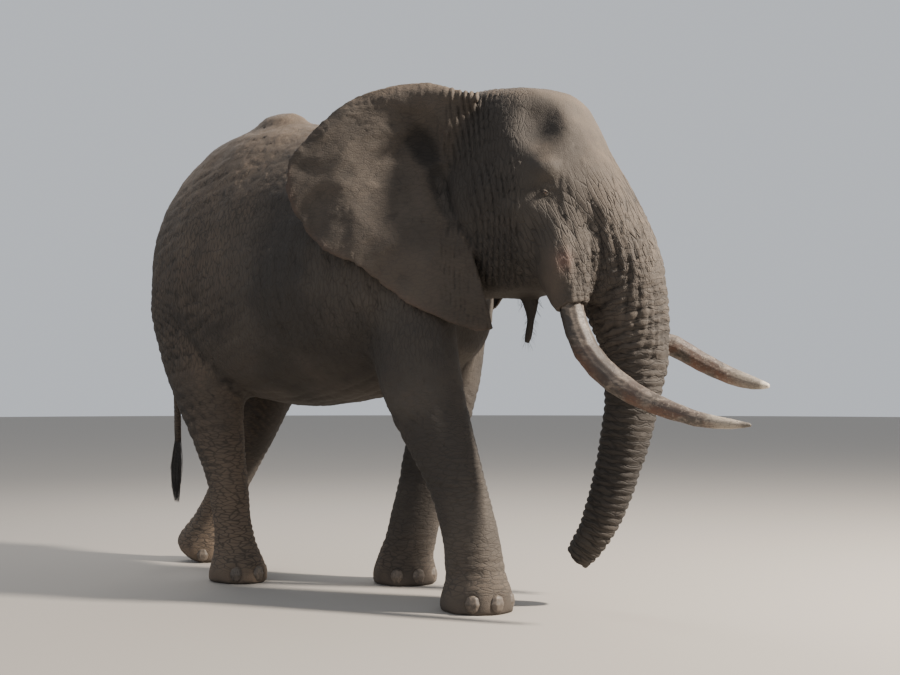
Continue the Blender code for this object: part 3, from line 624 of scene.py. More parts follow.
push += creases(0.0170 * cheek, at.head * (1, 1, 0.5), bowed, 0.044, 41, 0.35)
nook = head + at.zone["ear_right"] + at.zone["ear_left"]
nook = nook * bump(forward, 0.07, 0.15) * ramp(height, 2.76, 2.94)
push += creases(0.024 * nook, at.head * (1, 1, 0.3), forward + 0.12 * height, 0.040, 42, 0.3)
push -= 0.014 * head * ramp(forward, 0.58, 0.50) * ramp(height, 2.00, 1.83)
throat = skull * ramp(at.normals[:, 2], -0.1, -0.6) * ramp(forward, 0.6, 0.4)
push += creases(0.007 * throat, at.head, forward, 0.055, 43)
smooth_lobe = 1 - 0.9 * hill(at.folded, (0.62, 0.42, 2.10), (0.10, 0.2, 0.24))
push += (cracks(0.0018 * skull, at.head, 0.042, 44) + lumps(0.004 * skull, at.head, 0.09, 45)) * smooth_lobe
print("with head within", round(float(np.abs(push).max()) * 1000), "mm")

# %% Ears
bend = np.zeros((len(x), 3))        # moves both faces of the thin ear the same way
turn_back = np.array(Matrix.Rotation(HEAD_TURN, 3, "Z"))
for seed, ear in zip((50, 70), at.ears.values()):
    flat = ear.flat
    hollow = ear_hollow(flat, 0.12, 0.085)
    ridge = stroke(flat, (0.42, 3.25, 0), (0.16, 3.23, 0), 0.05)
    low_hollow = stroke(flat, (0.30, 2.55, 0), (0.55, 2.45, 0), 0.10)
    band = bump(ear.inset, 0.07, 0.05) * ramp(ear.height, 2.85, 3.1)
    wave = np.sin(2 * np.pi * (ear.along / 0.34 + lumps(0.7 * ear.zone, flat, 0.40, seed)))
    ripple = np.sin(2 * np.pi * (ear.along / 0.16 + lumps(1.0 * ear.zone, flat, 0.30, seed + 1)))
    edge = ramp(ear.inset, 0.24, 0.0) * ramp(ear.along, 0.9, 1.3) * ramp(ear.along, 2.75, 2.3)
    uneven = 0.35 + 0.65 * ramp(lumps(ear.zone, flat, 0.30, seed + 12), -0.4, 0.4)
    shift = -0.080 * hollow - 0.012 * low_hollow
    shift = shift + lumps(0.010 * ear.zone * ramp(ear.reach, 0.1, 0.3), flat, 0.33, seed + 2)
    shift += edge * uneven * (0.009 * wave + 0.003 * ripple * ramp(ear.inset, 0.14, 0.0))
    bend += (ear.zone * shift)[:, None] * ear.facing
    inward = ramp(ear.inset, 0.05, 0.0) * ear.zone * ramp(ear.along, 0.7, 1.1) * ramp(ear.along, 2.9, 2.5)
    dents = 0.012 * ramp(lumps(ear.zone, flat, 0.055, seed + 3), 0.0, 0.7)
    dents += 0.010 * ramp(lumps(ear.zone, flat, 0.13, seed + 4), -0.2, 0.5)
    bend -= (inward * dents)[:, None] * (0.8 * ear.outward + np.array((0, 0, -0.6)))
    pinna = ear.zone * ear_front(ear)
    veins = np.arctan2(ear.height - 2.72, ear.reach + 0.12)
    vein = bump(np.abs(np.sin(5.5 * veins + lumps(0.5 * pinna, flat, 0.22, seed + 5))), 0, 0.16)
    thin_vein = bump(np.abs(np.sin(13 * veins + lumps(0.9 * pinna, flat, 0.16, seed + 6))), 0, 0.22)
    relief = 0.022 * ridge + 0.018 * band
    relief += (0.004 * vein + 0.0022 * thin_vein * ramp(ear.reach, 0.4, 0.6)) * ramp(ear.inset, 0.03, 0.12)
    push += pinna * relief
    push += creases(0.006 * pinna * band, at.head, ear.along, 0.055, seed + 7)
    brink = pinna * ramp(ear.inset, 0.22, 0.05) * ramp(ear.along, 1.0, 1.4)
    push += creases(0.003 * brink, at.head, ear.along + 0.4 * ear.inset, 0.050, seed + 8)
    root_depth = 0.009 * pinna * ramp(ear.reach, 0.20, 0.05)
    push += creases(root_depth, at.head, ear.reach + 0.05 * ear.height, 0.030, seed + 9)
    level_folds = pinna * ramp(ear.reach, 0.35, 0.55) * ramp(ear.height, 2.80, 2.95)
    push += creases(0.006 * level_folds, at.head, ear.height + 0.15 * ear.reach, 0.045, seed + 13)
    net = cracks(0.0016 * ear.zone, at.head, 0.05, seed + 10)
    push += net + lumps(0.004 * ear.zone, at.head, 0.08, seed + 11)
print("ears bent by up to", round(float(np.abs(bend).max()) * 1000), "mm")

# %% Move the skin
moved = at.points + push[:, None] * at.normals + bend @ turn_back.T
moved[:, 2] = np.maximum(moved[:, 2], 0)
set_points(skin, moved)
print("skin moved; deepest", round(float(push.min()) * 1000, 1), "mm, highest",
    round(float(push.max()) * 1000, 1), "mm")

# %% [markdown]
# ## Fewer triangles, where they matter least
#
# The even grid that carried the folds is finer than a flat flank needs. Collapsing edges keeps creases
# and curves and thins out what is nearly flat.

# %% Thin out the skin
SKIN_TRIANGLES = 176000
even_triangles = sum(len(face.vertices) - 2 for face in skin.data.polygons)
use(skin, "DECIMATE", ratio=SKIN_TRIANGLES / even_triangles, use_collapse_triangulate=True)
print("skin:", even_triangles, "triangles, now", len(skin.data.polygons))

# %% [markdown]
# ## Eyes and lids
#
# The eye of an elephant is small and deep, and its lids are heavy. The eyeball is a plain sphere with its
# rings of pupil, iris and white round the way it looks, so that the ring pattern stays round. The lids
# are part of the skin: the mesh is cut finer there, lifted over the ball, opened in an almond, and
# creased in rings around it.


# %% Finer skin round the eyes
def unit(*values):
    values = np.array(values, float)
    return values / np.linalg.norm(values)


def refine(piece, places, radius):
    """Cuts the skin near some places finer."""
    middles = np.empty(len(piece.data.polygons) * 3, np.float32)
    piece.data.polygons.foreach_get("center", middles)
    away = [np.linalg.norm(middles.reshape(-1, 3) - place, axis=1) for place in places]
    only(piece)
    bpy.ops.object.mode_set(mode="EDIT")
    bpy.ops.mesh.select_mode(type="FACE")
    bpy.ops.mesh.select_all(action="DESELECT")
    bpy.ops.object.mode_set(mode="OBJECT")
    piece.data.polygons.foreach_set("select", np.min(away, axis=0) < radius)
    bpy.ops.object.mode_set(mode="EDIT")
    bpy.ops.mesh.subdivide(number_cuts=1)
    bpy.ops.mesh.select_all(action="SELECT")
    bpy.ops.mesh.quads_convert_to_tris()
    bpy.ops.object.mode_set(mode="OBJECT")


BALL = 0.023
eyes = {}
for side, sign in (("right", -1), ("left", 1)):
    corners = np.array([vertex.co for vertex in nodes[f"eye_{side}"].data.vertices])
    place = (corners.min(axis=0) + corners.max(axis=0)) / 2
    gaze = turn_back @ unit(0.32, sign * 0.94, -0.05)
    aside = unit(*(sign * np.cross(gaze, (0, 0, 1))))
    eyes[side] = (place, np.stack([aside, sign * np.cross(aside, gaze), gaze]))
    print(side, "eye at", place.round(3), "ball", (corners.max(axis=0) - corners.min(axis=0)).round(4))
places = [place for place, axes in eyes.values()]
for radius in (0.12, 0.08, 0.036):
    refine(skin, places, radius)
points = points_of(skin)
near_eye = np.min([np.linalg.norm(points - place, axis=1) for place in places], axis=0)
smoothed(skin, 8, ramp(near_eye, 0.12, 0.09))
print("skin with fine lids:", len(skin.data.polygons), "triangles")

# %% Lids
LID = 0.0044                # thickness of the lid over the ball
OPENING = (0.0195, 0.0105, 0.0080)      # half length, height of the upper arch, depth of the lower arch
LID_FOLDS = [               # distance from the middle, depth, half width
    (0.0185, 0.0022, 0.0017), (0.0245, 0.0032, 0.0021), (0.032, 0.0040, 0.0027), (0.041, 0.0048, 0.0034),
    (0.052, 0.0052, 0.0042), (0.066, 0.0050, 0.0050),
]

points = points_of(skin)
for seed, (place, axes) in enumerate(eyes.values()):
    local = (points - place) @ axes.T
    here = (np.hypot(local[:, 0], local[:, 1]) < 0.13) & (np.abs(local[:, 2]) < 0.06)
    aside, above, out = local[here].T
    above = above + 0.14 * aside
    spread = np.hypot(aside, above)
    dome = np.sqrt(np.maximum((BALL + LID) ** 2 - spread ** 2, 0))
    share = np.clip(0.5 + 0.5 * (dome - out) / 0.006, 0, 1)
    lifted = out * (1 - share) + dome * share + 0.006 * share * (1 - share)
    out = out + (lifted - out) * ramp(spread, 0.040, 0.025)
    arch = 1 - (aside / OPENING[0]) ** 2
    inside = np.minimum(OPENING[1] * arch - above, above + OPENING[2] * arch)
    out += 0.0012 * bump(inside, -0.0020, 0.0016) - (LID + 0.0060) * ramp(inside, -0.0004, 0.0022)
    oval = np.hypot(aside / 1.45, above) + 0.0015 * noise(local[here], 0.03, 90 + seed)
    strength = 0.45 + 0.55 * ramp(above, -0.01, 0.015) + 0.35 * ramp(above, -0.012, -0.03)
    strength = strength * (0.65 + 0.35 * noise(local[here], 0.035, 92 + seed)) * ramp(aside, 0.09, 0.04)
    for middle, depth, width in LID_FOLDS:
        out -= depth * strength * bump(oval, middle, width)
    local[here, 2] = out
    points[here] = place + local[here] @ axes
set_points(skin, points)
print("lids open", round(OPENING[0] * 2000), "by", round((OPENING[1] + OPENING[2]) * 1000, 1), "mm")


# %% [markdown]
# ## Materials from sums
#
# A material is a tree of small nodes. Building it node by node hides the idea behind the wiring, so one
# small class wraps a socket and lets Python's own signs do the wiring: a + b makes an Add node. With it a
# pattern reads as the formula that it is. All patterns are fixed in space or follow maps kept on the
# mesh, and no picture is used.


# %% A number that is a socket
class Value:
    """A socket of a node tree that adds, multiplies and compares like a number."""

    def __init__(self, socket):
        self.socket, self.tree = socket, socket.id_data

    def node(self, kind, inputs, output=0, **settings):
        """Any other node: settings are its own, inputs go to its sockets by name or number."""
        made = self.tree.nodes.new(kind)
        for name, value in settings.items():
            setattr(made, name, value)
        for name, value in inputs.items():
            if isinstance(value, Value):
                self.tree.links.new(value.socket, made.inputs[name])
            else:
                made.inputs[name].default_value = value
        return Value(made.outputs[output])

    def maths(self, operation, *values):
        return self.node("ShaderNodeMath", dict(enumerate(values)), operation=operation)

    def vector(self, operation, *values):
        return self.node("ShaderNodeVectorMath", dict(enumerate(values)), operation=operation)

    def __add__(self, other): return self.maths("ADD", self, other)
    def __radd__(self, other): return self.maths("ADD", other, self)
    def __sub__(self, other): return self.maths("SUBTRACT", self, other)
    def __rsub__(self, other): return self.maths("SUBTRACT", other, self)
    def __mul__(self, other): return self.maths("MULTIPLY", self, other)
    def __rmul__(self, other): return self.maths("MULTIPLY", other, self)

    def ramp(self, start, end):
        """0 before start and 1 past end, with a soft step between."""
        if start > end:
            return 1 - self.ramp(end, start)
        inputs = {"Value": self, "From Min": start, "From Max": end}
        return self.node("ShaderNodeMapRange", inputs, interpolation_type="SMOOTHSTEP")

    def mix(self, first, second):
        """A colour between two, by this share of the second."""
        return self.node("ShaderNodeMix", {0: self, 6: first, 7: second}, 2, data_type="RGBA")

    def stretched(self, x, y, z):
        return self.vector("MULTIPLY", self, (x, y, z))

    def noise(self, scale, detail=2.0):
        return self.node("ShaderNodeTexNoise", {"Vector": self, "Scale": scale, "Detail": detail})

    def warped(self, scale, amount):
        """A place moved about by noise, so that no line through a pattern stays straight."""
        wind = self.node("ShaderNodeTexNoise", {"Vector": self, "Scale": scale, "Detail": 1.0}, 1)
        wind = self.vector("SUBTRACT", wind, (0.5, 0.5, 0.5))
        wind = wind.node("ShaderNodeVectorMath", {0: wind, "Scale": amount}, operation="SCALE")
        return self.vector("ADD", self, wind)

    def cracks(self, scale, width=0.12):
        """0 in the cracks between random cells and 1 on the cells."""
        inputs = {"Vector": self, "Scale": scale}
        return self.node("ShaderNodeTexVoronoi", inputs, feature="DISTANCE_TO_EDGE").ramp(0.0, width)


def new_material(name):
    """A material, its shader, the place of each point, and a way to read a map kept on the mesh."""
    made = bpy.data.materials.new(name)
    made.use_nodes = True
    tree = made.node_tree
    shader = tree.nodes["Principled BSDF"]
    place = Value(tree.nodes.new("ShaderNodeTexCoord").outputs["Object"])

    def kept(title, parts):
        read = tree.nodes.new("ShaderNodeAttribute")
        read.attribute_name = title
        if parts == 1:
            return Value(read.outputs["Fac"])
        if parts == "vector":
            return Value(read.outputs["Vector"])
        split = tree.nodes.new("ShaderNodeSeparateColor")
        tree.links.new(read.outputs["Color"], split.inputs[0])
        return [Value(split.outputs[k]) for k in range(3)]

    return made, shader, place, kept


def join_to(shader, name, value):
    value.tree.links.new(value.socket, shader.inputs[name])


def bumped(shader, height):
    """Shades the surface as if it had this height in metres."""
    join_to(shader, "Normal", height.node("ShaderNodeBump",
        {"Height": height, "Distance": 1.0, "Strength": 1.0}))


def keep(piece, name, values):
    """Keeps a number, or three as a colour, for each point of a piece."""
    if values.ndim == 1:
        made = piece.data.attributes.new(name, "FLOAT", "POINT")
        made.data.foreach_set("value", values.astype(np.float32))
    else:
        rows = np.concatenate([values, np.ones((len(values), 1))], axis=1)
        made = piece.data.attributes.new(name, "FLOAT_COLOR", "POINT")
        made.data.foreach_set("color", rows.astype(np.float32).ravel())


# %% [markdown]
# ## The skin's maps and material
#
# Three maps are kept on the skin after it has been thinned out: coordinates that follow the trunk, how
# strongly the small wrinkles run level or upright, and how much dust and painted light, how much painted
# shade and dirt, and how much pink each place has. Painted shade and dirt go where the skin lies lower
# than its surroundings, where dirt gathers and light does not reach, and into a few shaded hollows.

# %% Maps on the skin
at = Survey(skin, 3)
x, z = at.points[:, 0], at.points[:, 2]
forward, height = at.head[:, 0], at.head[:, 2]
zone, up = at.zone, at.normals[:, 2]
trunk_map = [ring_number(at.trunk_length) / 100, at.head[:, 1], at.trunk_ahead]
keep(skin, "trunk_map", np.stack(trunk_map, axis=1))
ring_like = np.clip(zone["trunk"] + zone["head"] * ramp(at.trunk_length, 0.3, 0.7), 0, 1)
sheath, lip = sheath_and_lip(at.folded)
ring_like *= ramp(at.trunk_length, 0.4, 0.9) * (1 - np.minimum(1.2 * sheath, 1)) * (1 - lip)
level = zone["shank"] + zone["foot"] + 0.6 * zone["upper"] * ramp(z, 1.7, 1.3)
level = np.clip(level, 0, 1) * ramp(z, 0.05, 0.15)
ears_zone = zone["ear_right"] + zone["ear_left"]
level = np.maximum(np.maximum(level, zone["tail"]), 0.45 * ears_zone)
cheek = zone["head"] * ramp(forward, 0.5, 0.35) * ramp(height, 1.9, 2.1)
upright = np.clip(cheek + (zone["body"] + zone["upper"]) * ramp(z, 1.3, 1.7) * ramp(up, 0.7, 0.3), 0, 1)
keep(skin, "wrinkle_way", np.stack([ring_like, level, upright], axis=1))
# Painted shade and dirt in creases: places lying lower than their surroundings are painted darker.
lower = ((at.near.soften(at.points, 6) - at.points) * at.normals).sum(axis=1)
shade_and_dirt = at.near.soften(ramp(lower, 0.0010, 0.0080), 1)
# Painted light and dust: lighter where the skin faces up, at the front of head and trunk, on the ears, on
# the sheaths and on the rear, partly as dust and partly as painted light; near the floor only as dust.
dust_and_light = 0.55 * ramp(up, 0.1, 0.9) + 0.35 * ramp(z, 0.7, 0.1)
dust_and_light += 0.30 * ramp(forward, 0.5, 0.9) * (zone["head"] + zone["trunk"])
dust_and_light += 0.30 * ears_zone + 0.45 * sheath * zone["head"]
dust_and_light += (0.55 * ramp(x, -0.4, -1.3) + 0.35 * ramp(z, 1.3, 0.6) * ramp(x, 0.0, -0.6)) * ramp(up, -0.6, 0.0)
# Painted shade: the lower trunk is painted darker, with less of the light tone and more of the dark one.
dust_and_light *= 1 - 0.75 * zone["trunk"] * ramp(at.trunk_length, 1.3, 2.2)
shade_and_dirt = np.maximum(shade_and_dirt, 0.55 * zone["trunk"] * ramp(at.trunk_length, 1.5, 2.6))
# Painted shade round the eye, where the brow casts its shadow.
eye_shade = hill(at.folded, (0.48, 0.40, 2.64), (0.10, 0.16, 0.075))
shade_and_dirt = np.maximum(shade_and_dirt, 0.60 * eye_shade * zone["head"])
# Painted shade under the lower lip.
shade_and_dirt = np.maximum(shade_and_dirt, 0.55 * lip * zone["head"] * ramp(height, 1.98, 1.90))
pink = 0.9 * hill(at.folded, (0.70, 0.42, 2.19), (0.05, 0.1, 0.06))
for ear in at.ears.values():
    pink += 0.22 * ear.zone * ramp(ear.inset, 0.07, 0.0) * ramp(ear.along, 1.0, 1.6)
    # Painted shade in the hollow on the front of each ear.
    hollow = ramp(ear_hollow(ear.flat, 0.10, 0.07), 0.15, 0.75)
    shade_and_dirt = np.maximum(shade_and_dirt, 0.95 * hollow * ear_front(ear) * ear.zone)
keep(skin, "tone", np.stack([np.clip(dust_and_light, 0, 1), shade_and_dirt, np.clip(pink, 0, 1)], axis=1))
print("creased share", round(float(shade_and_dirt.mean()), 3), "dusty share", round(float(dust_and_light.mean()), 3))

# %% Skin material
# Colours of the hide: a near-black for painted shade and dirt, three tones of hide, a light tan for dust and
# painted light, and pink.
SHADE_AND_DIRT_HIDE, HIDE, PALE_HIDE = (0.012, 0.010, 0.0085, 1), (0.040, 0.0345, 0.030, 1), (0.066, 0.056, 0.047, 1)
DUST_AND_LIGHT, PINK_HIDE = (0.150, 0.112, 0.082, 1), (0.135, 0.082, 0.066, 1)

hide, shader, place, kept = new_material("hide")
ring_share, level_share, upright_share = kept("wrinkle_way", 3)
dust_and_light_share, shade_and_dirt_share, pink_share = kept("tone", 3)
wandering = place.warped(9.0, 0.035)
fine = wandering.cracks(78, 0.13)
coarse = wandering.cracks(27, 0.10)
on_trunk = kept("trunk_map", "vector")
trunk_place = place.vector("SUBTRACT", place.warped(14.0, 0.008), place)
trunk_place = place.vector("ADD", trunk_place, on_trunk)
ring_lines = trunk_place.stretched(170, 5, 5).cracks(1.0, 0.12)
down_lines = trunk_place.stretched(30, 30, 30).cracks(1.0, 0.10)
upper_trunk = on_trunk.node("ShaderNodeSeparateXYZ", {0: on_trunk}).ramp(3.66, 3.54)
level_lines = wandering.stretched(13, 13, 42).cracks(1.0, 0.14)
upright_lines = wandering.stretched(40, 40, 11).cracks(1.0, 0.14)
patchy = place.noise(5.0, 4.0)
blotchy = place.noise(1.6, 3.0)
grain = place.noise(330, 2.0)

down_share = ring_share * upper_trunk
relief = 0.0007 * fine + 0.0006 * coarse * patchy.ramp(0.35, 0.65) + 0.0005 * grain
relief = relief + 0.0036 * ring_lines * ring_share * (1 - 0.7 * upper_trunk)
relief = relief + 0.0017 * level_lines * level_share
relief = relief + 0.0026 * upright_lines * upright_share + 0.0065 * down_lines * down_share
bumped(shader, relief)

worn = blotchy.ramp(0.40, 0.66)
colour = worn.mix(HIDE, PALE_HIDE)
ring_dark = ring_share * (1 - 0.7 * upper_trunk)
ridged = (ring_lines * ring_dark + (1 - ring_dark)) * (down_lines * down_share + (1 - down_share))
ridged = ridged * (level_lines * level_share + (1 - level_share))
ridged = ridged * (upright_lines * upright_share + (1 - upright_share))
ridged = ridged * (0.84 + 0.16 * fine) * (0.93 + 0.07 * coarse)
# Painted light and dust: the light tone, weaker in the cracks and creases.
dust_and_light_mix = (dust_and_light_share * (0.35 + 0.9 * patchy) * (0.45 + 0.55 * ridged)
    * (1 - 0.6 * shade_and_dirt_share)).ramp(0.0, 1.0)
colour = dust_and_light_mix.mix(colour, DUST_AND_LIGHT)
colour = (pink_share * patchy.ramp(0.35, 0.6)).mix(colour, PINK_HIDE)
# Painted shade and dirt: creases, the shaded hollows and the cracks of the wrinkles are darkened.
painted_shade_and_dirt = (shade_and_dirt_share * 0.75 + 0.38 * (1 - ridged)).ramp(0.0, 1.1)
join_to(shader, "Base Color", painted_shade_and_dirt.mix(colour, SHADE_AND_DIRT_HIDE))
join_to(shader, "Roughness", 0.80 + 0.15 * dust_and_light_mix)
shader.inputs["Specular IOR Level"].default_value = 0.35
coated(skin, hide)
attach(skin, "root")
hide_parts(*BULK, *THIN)
print("hide has", len(hide.node_tree.nodes), "nodes")

# %% Eyeballs
PUPIL, IRIS = 0.0036, 0.0100
eyeball, shader, place, kept = new_material("eyeball")
ring = kept("ring", 1)
fibres = place.noise(900, 2.0)
iris = fibres.ramp(0.35, 0.65).mix((0.040, 0.018, 0.008, 1), (0.100, 0.048, 0.019, 1))
iris = ring.ramp(PUPIL - 0.0003, PUPIL + 0.0003).mix((0.002, 0.002, 0.002, 1), iris)
iris = ring.ramp(IRIS - 0.0016, IRIS).mix(iris, (0.012, 0.008, 0.006, 1))
white = place.noise(120, 2.0).ramp(0.4, 0.7).mix((0.045, 0.030, 0.024, 1), (0.110, 0.085, 0.070, 1))
join_to(shader, "Base Color", ring.ramp(IRIS, IRIS + 0.0012).mix(iris, white))
shader.inputs["Roughness"].default_value = 0.12
shader.inputs["Coat Weight"].default_value = 1.0
shader.inputs["Coat Roughness"].default_value = 0.03

for side, (middle, axes) in eyes.items():
    bpy.ops.object.select_all(action="DESELECT")
    bpy.ops.mesh.primitive_uv_sphere_add(segments=48, ring_count=40, radius=BALL, location=(0, 0, 0))
    ball = bpy.context.object
    ball.name = f"eyeball_{side}"
    local = points_of(ball)
    from_axis = np.hypot(local[:, 0], local[:, 1]) + 0.05 * (local[:, 2] < 0)
    local[:, 2] += 0.0016 * bump(from_axis, 0, 0.0095)      # the cornea stands a little proud
    keep(ball, "ring", from_axis)
    set_points(ball, middle + local @ axes)
    coated(ball, eyeball)
    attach(ball, "root")
    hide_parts(f"eye_{side}")

# %% [markdown]
# ## Tusks and toenails
#
# The solids of tusks and nails have the right place and size but flat faces. A voxel remesh and some
# smoothing turn copies of them into round ones. The tusks then get shallow lengthwise grooves. Their
# stains need to know how far along the tusk a point is, so each one keeps that distance as a map.

# %% Tusks
ivory, shader, place, kept = new_material("ivory")
along, left_tusk, under = kept("tusk_map", 3)
streaky = place.warped(5.0, 0.06).noise(7.0, 6.0)
spots = place.noise(60, 4.0)
lengthwise = place.warped(8.0, 0.02).stretched(9, 22, 40).noise(1.6, 4.0)
cracked = place.warped(10.0, 0.02).stretched(1.0, 1.6, 2.2).cracks(26, 0.05)
colour = lengthwise.ramp(0.36, 0.60).mix((0.150, 0.122, 0.098, 1), (0.070, 0.056, 0.046, 1))
stained = place.warped(7.0, 0.05).noise(17.0, 5.0)
colour = (streaky.ramp(0.46, 0.54) * 0.85).mix(colour, (0.030, 0.026, 0.023, 1))
colour = (stained.ramp(0.52, 0.60) * along.ramp(0.05, 0.35) * 0.7).mix(colour, (0.032, 0.024, 0.019, 1))
rusty = along.ramp(0.22, 0.42) * along.ramp(0.95, 0.75) * (0.25 + 0.75 * under) * streaky.ramp(0.36, 0.58)
colour = (rusty * (0.65 + 0.25 * left_tusk)).mix(colour, (0.140, 0.066, 0.040, 1))
rubbed = (along + 0.35 * (streaky - 0.5) + 0.10 * (spots - 0.5)).ramp(0.72, 0.90) * (1 - 0.45 * left_tusk)
colour = (rubbed * 0.9).mix(colour, (0.30, 0.26, 0.21, 1))
flecks = spots.ramp(0.57, 0.64) * along.ramp(0.25, 0.75) * 0.6
colour = flecks.mix(colour, (0.24, 0.20, 0.16, 1))
tip = (along + 0.03 * streaky).ramp(0.955, 0.985)
colour = (tip * left_tusk).mix(colour, (0.50, 0.44, 0.36, 1))
colour = (tip * (1 - left_tusk) * 0.8).mix(colour, (0.060, 0.050, 0.042, 1))
join_to(shader, "Base Color", ((1 - cracked) * 0.7).mix(colour, (0.035, 0.028, 0.023, 1)))
join_to(shader, "Roughness", 0.60 - 0.15 * rubbed)
bumped(shader, 0.0006 * streaky + 0.0005 * cracked + 0.0002 * spots)

for sign, side in ((0, "right"), (1, "left")):
    tusk = fused(copied([f"tusk_{side}"], f"ivory_{side}"), 0.007)
    smoothed(tusk, 30)
    local = in_head(points_of(tusk))
    reach = local[:, 0] + 0.75 * np.maximum(2.0 - local[:, 2], 0) * ramp(local[:, 0], 1.0, 0.8)
    share = (reach - reach.min()) / (reach.max() - reach.min())
    grooves = 0.0012 * noise(np.stack([share * 0.25, local[:, 1], local[:, 2]], axis=1), 0.022, 120 + sign)
    grooves += 0.003 * noise(local, 0.12, 122 + sign)
    set_points(tusk, points_of(tusk) + (grooves * ramp(share, 1.0, 0.85))[:, None] * normals_of(tusk))
    under = ramp(normals_of(tusk)[:, 2], 0.4, -0.5)
    keep(tusk, "tusk_map", np.stack([share, np.full(len(share), float(sign)), under], axis=1))
    coated(tusk, ivory)
    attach(tusk, "root")
    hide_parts(f"tusk_{side}")
    print(tusk.name, len(tusk.data.polygons), "faces")

# %% Toenails
NAILS = [name for name in nodes if name.startswith("nail_")]
horn, shader, place, kept = new_material("horn")
mottled = place.noise(55, 3.0)
ridges = place.warped(20.0, 0.01).stretched(60, 60, 9).noise(3.0, 2.0)
colour = mottled.ramp(0.30, 0.70).mix((0.070, 0.056, 0.045, 1), (0.125, 0.100, 0.078, 1))
join_to(shader, "Base Color", ridges.ramp(0.55, 0.7).mix(colour, (0.055, 0.045, 0.038, 1)))
shader.inputs["Roughness"].default_value = 0.6
bumped(shader, 0.0008 * ridges + 0.0004 * mottled)

toenails = fused(copied(NAILS, "toenails"), 0.006)
smoothed(toenails, 12)
local = points_of(toenails)
set_points(toenails, local + 0.0012 * noise(local, 0.03, 130)[:, None] * normals_of(toenails))
coated(toenails, horn)
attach(toenails, "root")
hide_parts(*NAILS)
print("toenails:", len(NAILS), "in one piece of", len(toenails.data.polygons), "faces")

# %% [markdown]
# ## Tail brush, lashes and bristles
#
# An elephant's few hairs are as thick as wire. They could be a particle system, but a reusable part needs
# real surfaces, so each hair is a thin four-sided tube that tapers to a point. One function makes a whole
# tuft from the lines that its hairs follow. Each hair also gets a small patch on a map of its own. In the
# tail brush and the lashes the patch follows the place of the root, and for the bristles it is random.


# %% Hairs as a mesh
def unit_rows(rows):
    return rows / np.linalg.norm(rows, axis=-1, keepdims=True)


def hairs(name, lines, radii, patches, material):
    """Tapering tubes along lines of places, all in one piece."""
    count, steps = lines.shape[:2]
    taper = np.linspace(1, 0.15, steps) ** 0.7
    heading = unit_rows(np.gradient(lines, axis=1))
    across = unit_rows(np.cross(heading, (0.31, 0.95, 0.11)))
    other = np.cross(heading, across)
    turns = [(across, 1), (other, 1), (across, -1), (other, -1)]
    thick = radii[:, None, None] * taper[None, :, None]
    rings = np.stack([lines + sign * way * thick for way, sign in turns], axis=2)
    corners = rings.reshape(-1, 3)
    quads = []
    for first, side in itertools.product(range(0, steps * 4 - 4, 4), range(4)):
        low, next_side = first + side, first + (side + 1) % 4
        quads.append((low, next_side, next_side + 4, low + 4))
    ends = [(3, 2, 1, 0), tuple(steps * 4 - 4 + k for k in range(4))]
    one = np.array(quads + ends)
    faces = (one[None] + (np.arange(count) * steps * 4)[:, None, None]).reshape(-1, 4)
    mesh = bpy.data.meshes.new(name)
    mesh.from_pydata(corners.tolist(), [], faces.tolist())
    piece = linked(bpy.data.objects.new(name, mesh))
    layer = mesh.uv_layers.new(name="OFBake")
    spot = np.array([(0, 0), (0.003, 0), (0.003, 0.003), (0, 0.003)])
    corner_places = np.repeat(patches, len(one), axis=0)[:, None, :] + spot[None]
    layer.data.foreach_set("uv", corner_places.astype(np.float32).ravel())
    mesh.materials.append(material)
    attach(piece, "root")
    return piece


def chance(count, seed):
    """Fixed random numbers from 0 to 1."""
    return lattice(np.stack([np.arange(count)] * 3, axis=1) * (1, 3, 7), seed)


hair, shader, place, kept = new_material("hair")
strands = place.noise(90, 2.0).ramp(0.4, 0.6)
join_to(shader, "Base Color", strands.mix((0.010, 0.008, 0.007, 1), (0.035, 0.026, 0.020, 1)))
shader.inputs["Roughness"].default_value = 0.5

# %% Tail brush
HAIRS = 420
brush = np.array([vertex.co for vertex in nodes["tail_brush"].data.vertices])
levels = np.linspace(brush[:, 2].max(), brush[:, 2].min(), 9)
rows = [brush[np.abs(brush[:, 2] - level) < 0.05] for level in levels]
middle = np.array([row.mean(axis=0) for row in rows])
half = np.array([np.ptp(row, axis=0)[:2] / 2 for row in rows])
across, along_tail, span = (chance(HAIRS, 140 + k) for k in range(3))
angle = 2 * np.pi * across
roots_down = 0.55 * along_tail ** 1.3
lengths = (0.35 + 0.65 * span) * (1 - roots_down)
steps = np.linspace(0, 1, 7)
down = roots_down[:, None] + lengths[:, None] * steps[None]
depth = down * (len(levels) - 1)
centre = np.stack([np.interp(depth, np.arange(9), middle[:, k]) for k in range(3)], axis=2)
centre[:, :, 2] += 0.09 * (1 - down)      # the first hairs grow from the end of the dock
width = np.stack([np.interp(depth, np.arange(9), half[:, k]) for k in range(2)], axis=2)
spread = (0.35 + 0.65 * steps[None] ** 0.7) * (0.4 + 0.6 * chance(HAIRS, 145))[:, None]
lines = centre.copy()
lines[:, :, 0] += np.cos(angle)[:, None] * width[:, :, 0] * spread
lines[:, :, 1] += np.sin(angle)[:, None] * width[:, :, 1] * spread
lines[:, :, 0] += 0.006 * np.sin(5 * down + 6 * across[:, None]) * steps[None]
patches = np.stack([0.05 + 0.85 * across, 0.05 + 0.85 * roots_down], axis=1)
tuft = hairs("tail_hair", lines, np.full(HAIRS, 0.0016) + 0.0008 * span, patches, hair)
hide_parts("tail_brush")
print("tail hair:", HAIRS, "hairs,", len(tuft.data.polygons), "faces")

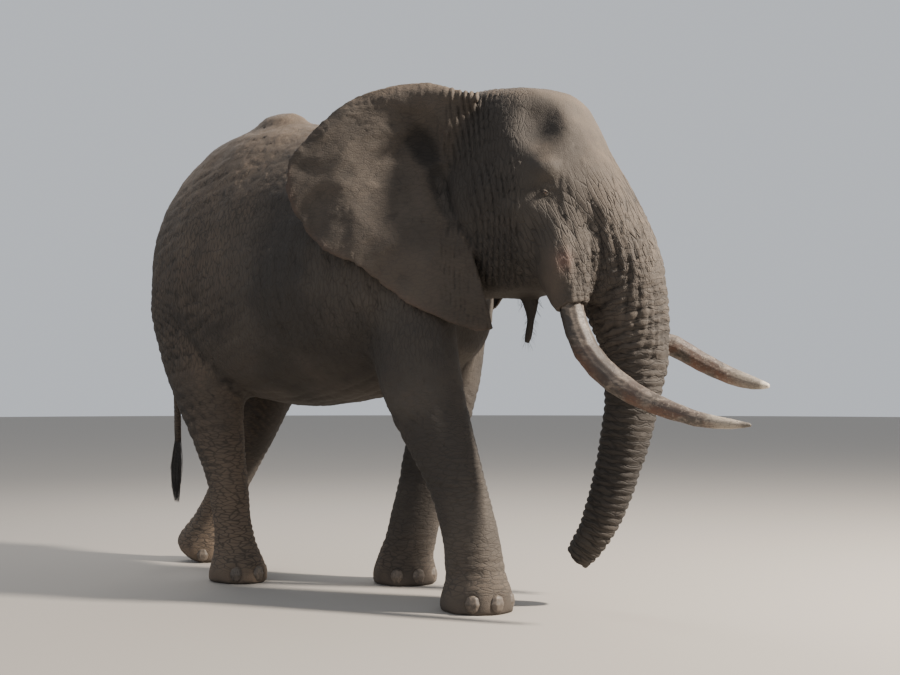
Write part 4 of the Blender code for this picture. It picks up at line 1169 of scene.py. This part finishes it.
# %% Lashes
LASHES = 22
for side, (middle, axes) in eyes.items():
    share = (np.arange(LASHES) + 0.5) / LASHES * 2 - 1
    jitter = chance(LASHES, 150) - 0.5
    aside = share * OPENING[0] * 0.95
    above = OPENING[1] * (1 - share ** 2) - 0.14 * aside + 0.0012
    lift = np.sqrt(np.maximum((BALL + LID) ** 2 - aside ** 2 - above ** 2, 0)) - 0.002
    root = np.stack([aside, above, lift], axis=1)
    length = 0.019 + 0.012 * chance(LASHES, 151) + 0.006 * share
    steps = np.linspace(0, 1, 6)[None, :, None]
    heading = [0.55 * share + 0.25 * jitter, -0.55 + 0.2 * jitter, np.full(LASHES, 1.0)]
    heading = unit_rows(np.stack(heading, axis=1))
    sag = np.array((0, -0.45, -0.10))
    lines = root[:, None] + length[:, None, None] * (heading[:, None] * steps + sag * steps ** 2)
    lines = middle + lines @ axes
    patches = np.stack([0.1 + 0.8 * (share + 1) / 2, np.full(LASHES, 0.5)], axis=1)
    piece = hairs(f"lashes_{side}", lines, np.full(LASHES, 0.00065), patches, hair)
print("lashes:", LASHES, "on each upper lid")

# %% Bristles of lip and chin
BRISTLES = 260
on_jaw = (forward > 0.22) & (forward < 0.52) & (height < 1.99) & (up < 0.3)
lower_jaw = np.flatnonzero((zone["head"] > 0.5) & on_jaw)
picked = lower_jaw[(chance(BRISTLES, 160) * len(lower_jaw)).astype(int)]
lean = np.array((0.15, 0.0, -0.75))
heading = unit_rows(at.normals[picked] + lean * (0.6 + 0.4 * chance(BRISTLES, 161))[:, None])
length = 0.018 + 0.034 * chance(BRISTLES, 162)
steps = np.linspace(0, 1, 5)[None, :, None]
droop = np.array((0, 0, -0.35))
lines = at.points[picked][:, None] + length[:, None, None] * (heading[:, None] * steps + droop * steps ** 2)
patches = 0.1 + 0.8 * np.stack([chance(BRISTLES, 163), chance(BRISTLES, 164)], axis=1)
beard = hairs("bristles", lines, np.full(BRISTLES, 0.0006), patches, hair)
print("bristles:", BRISTLES, "among", len(lower_jaw), "places")
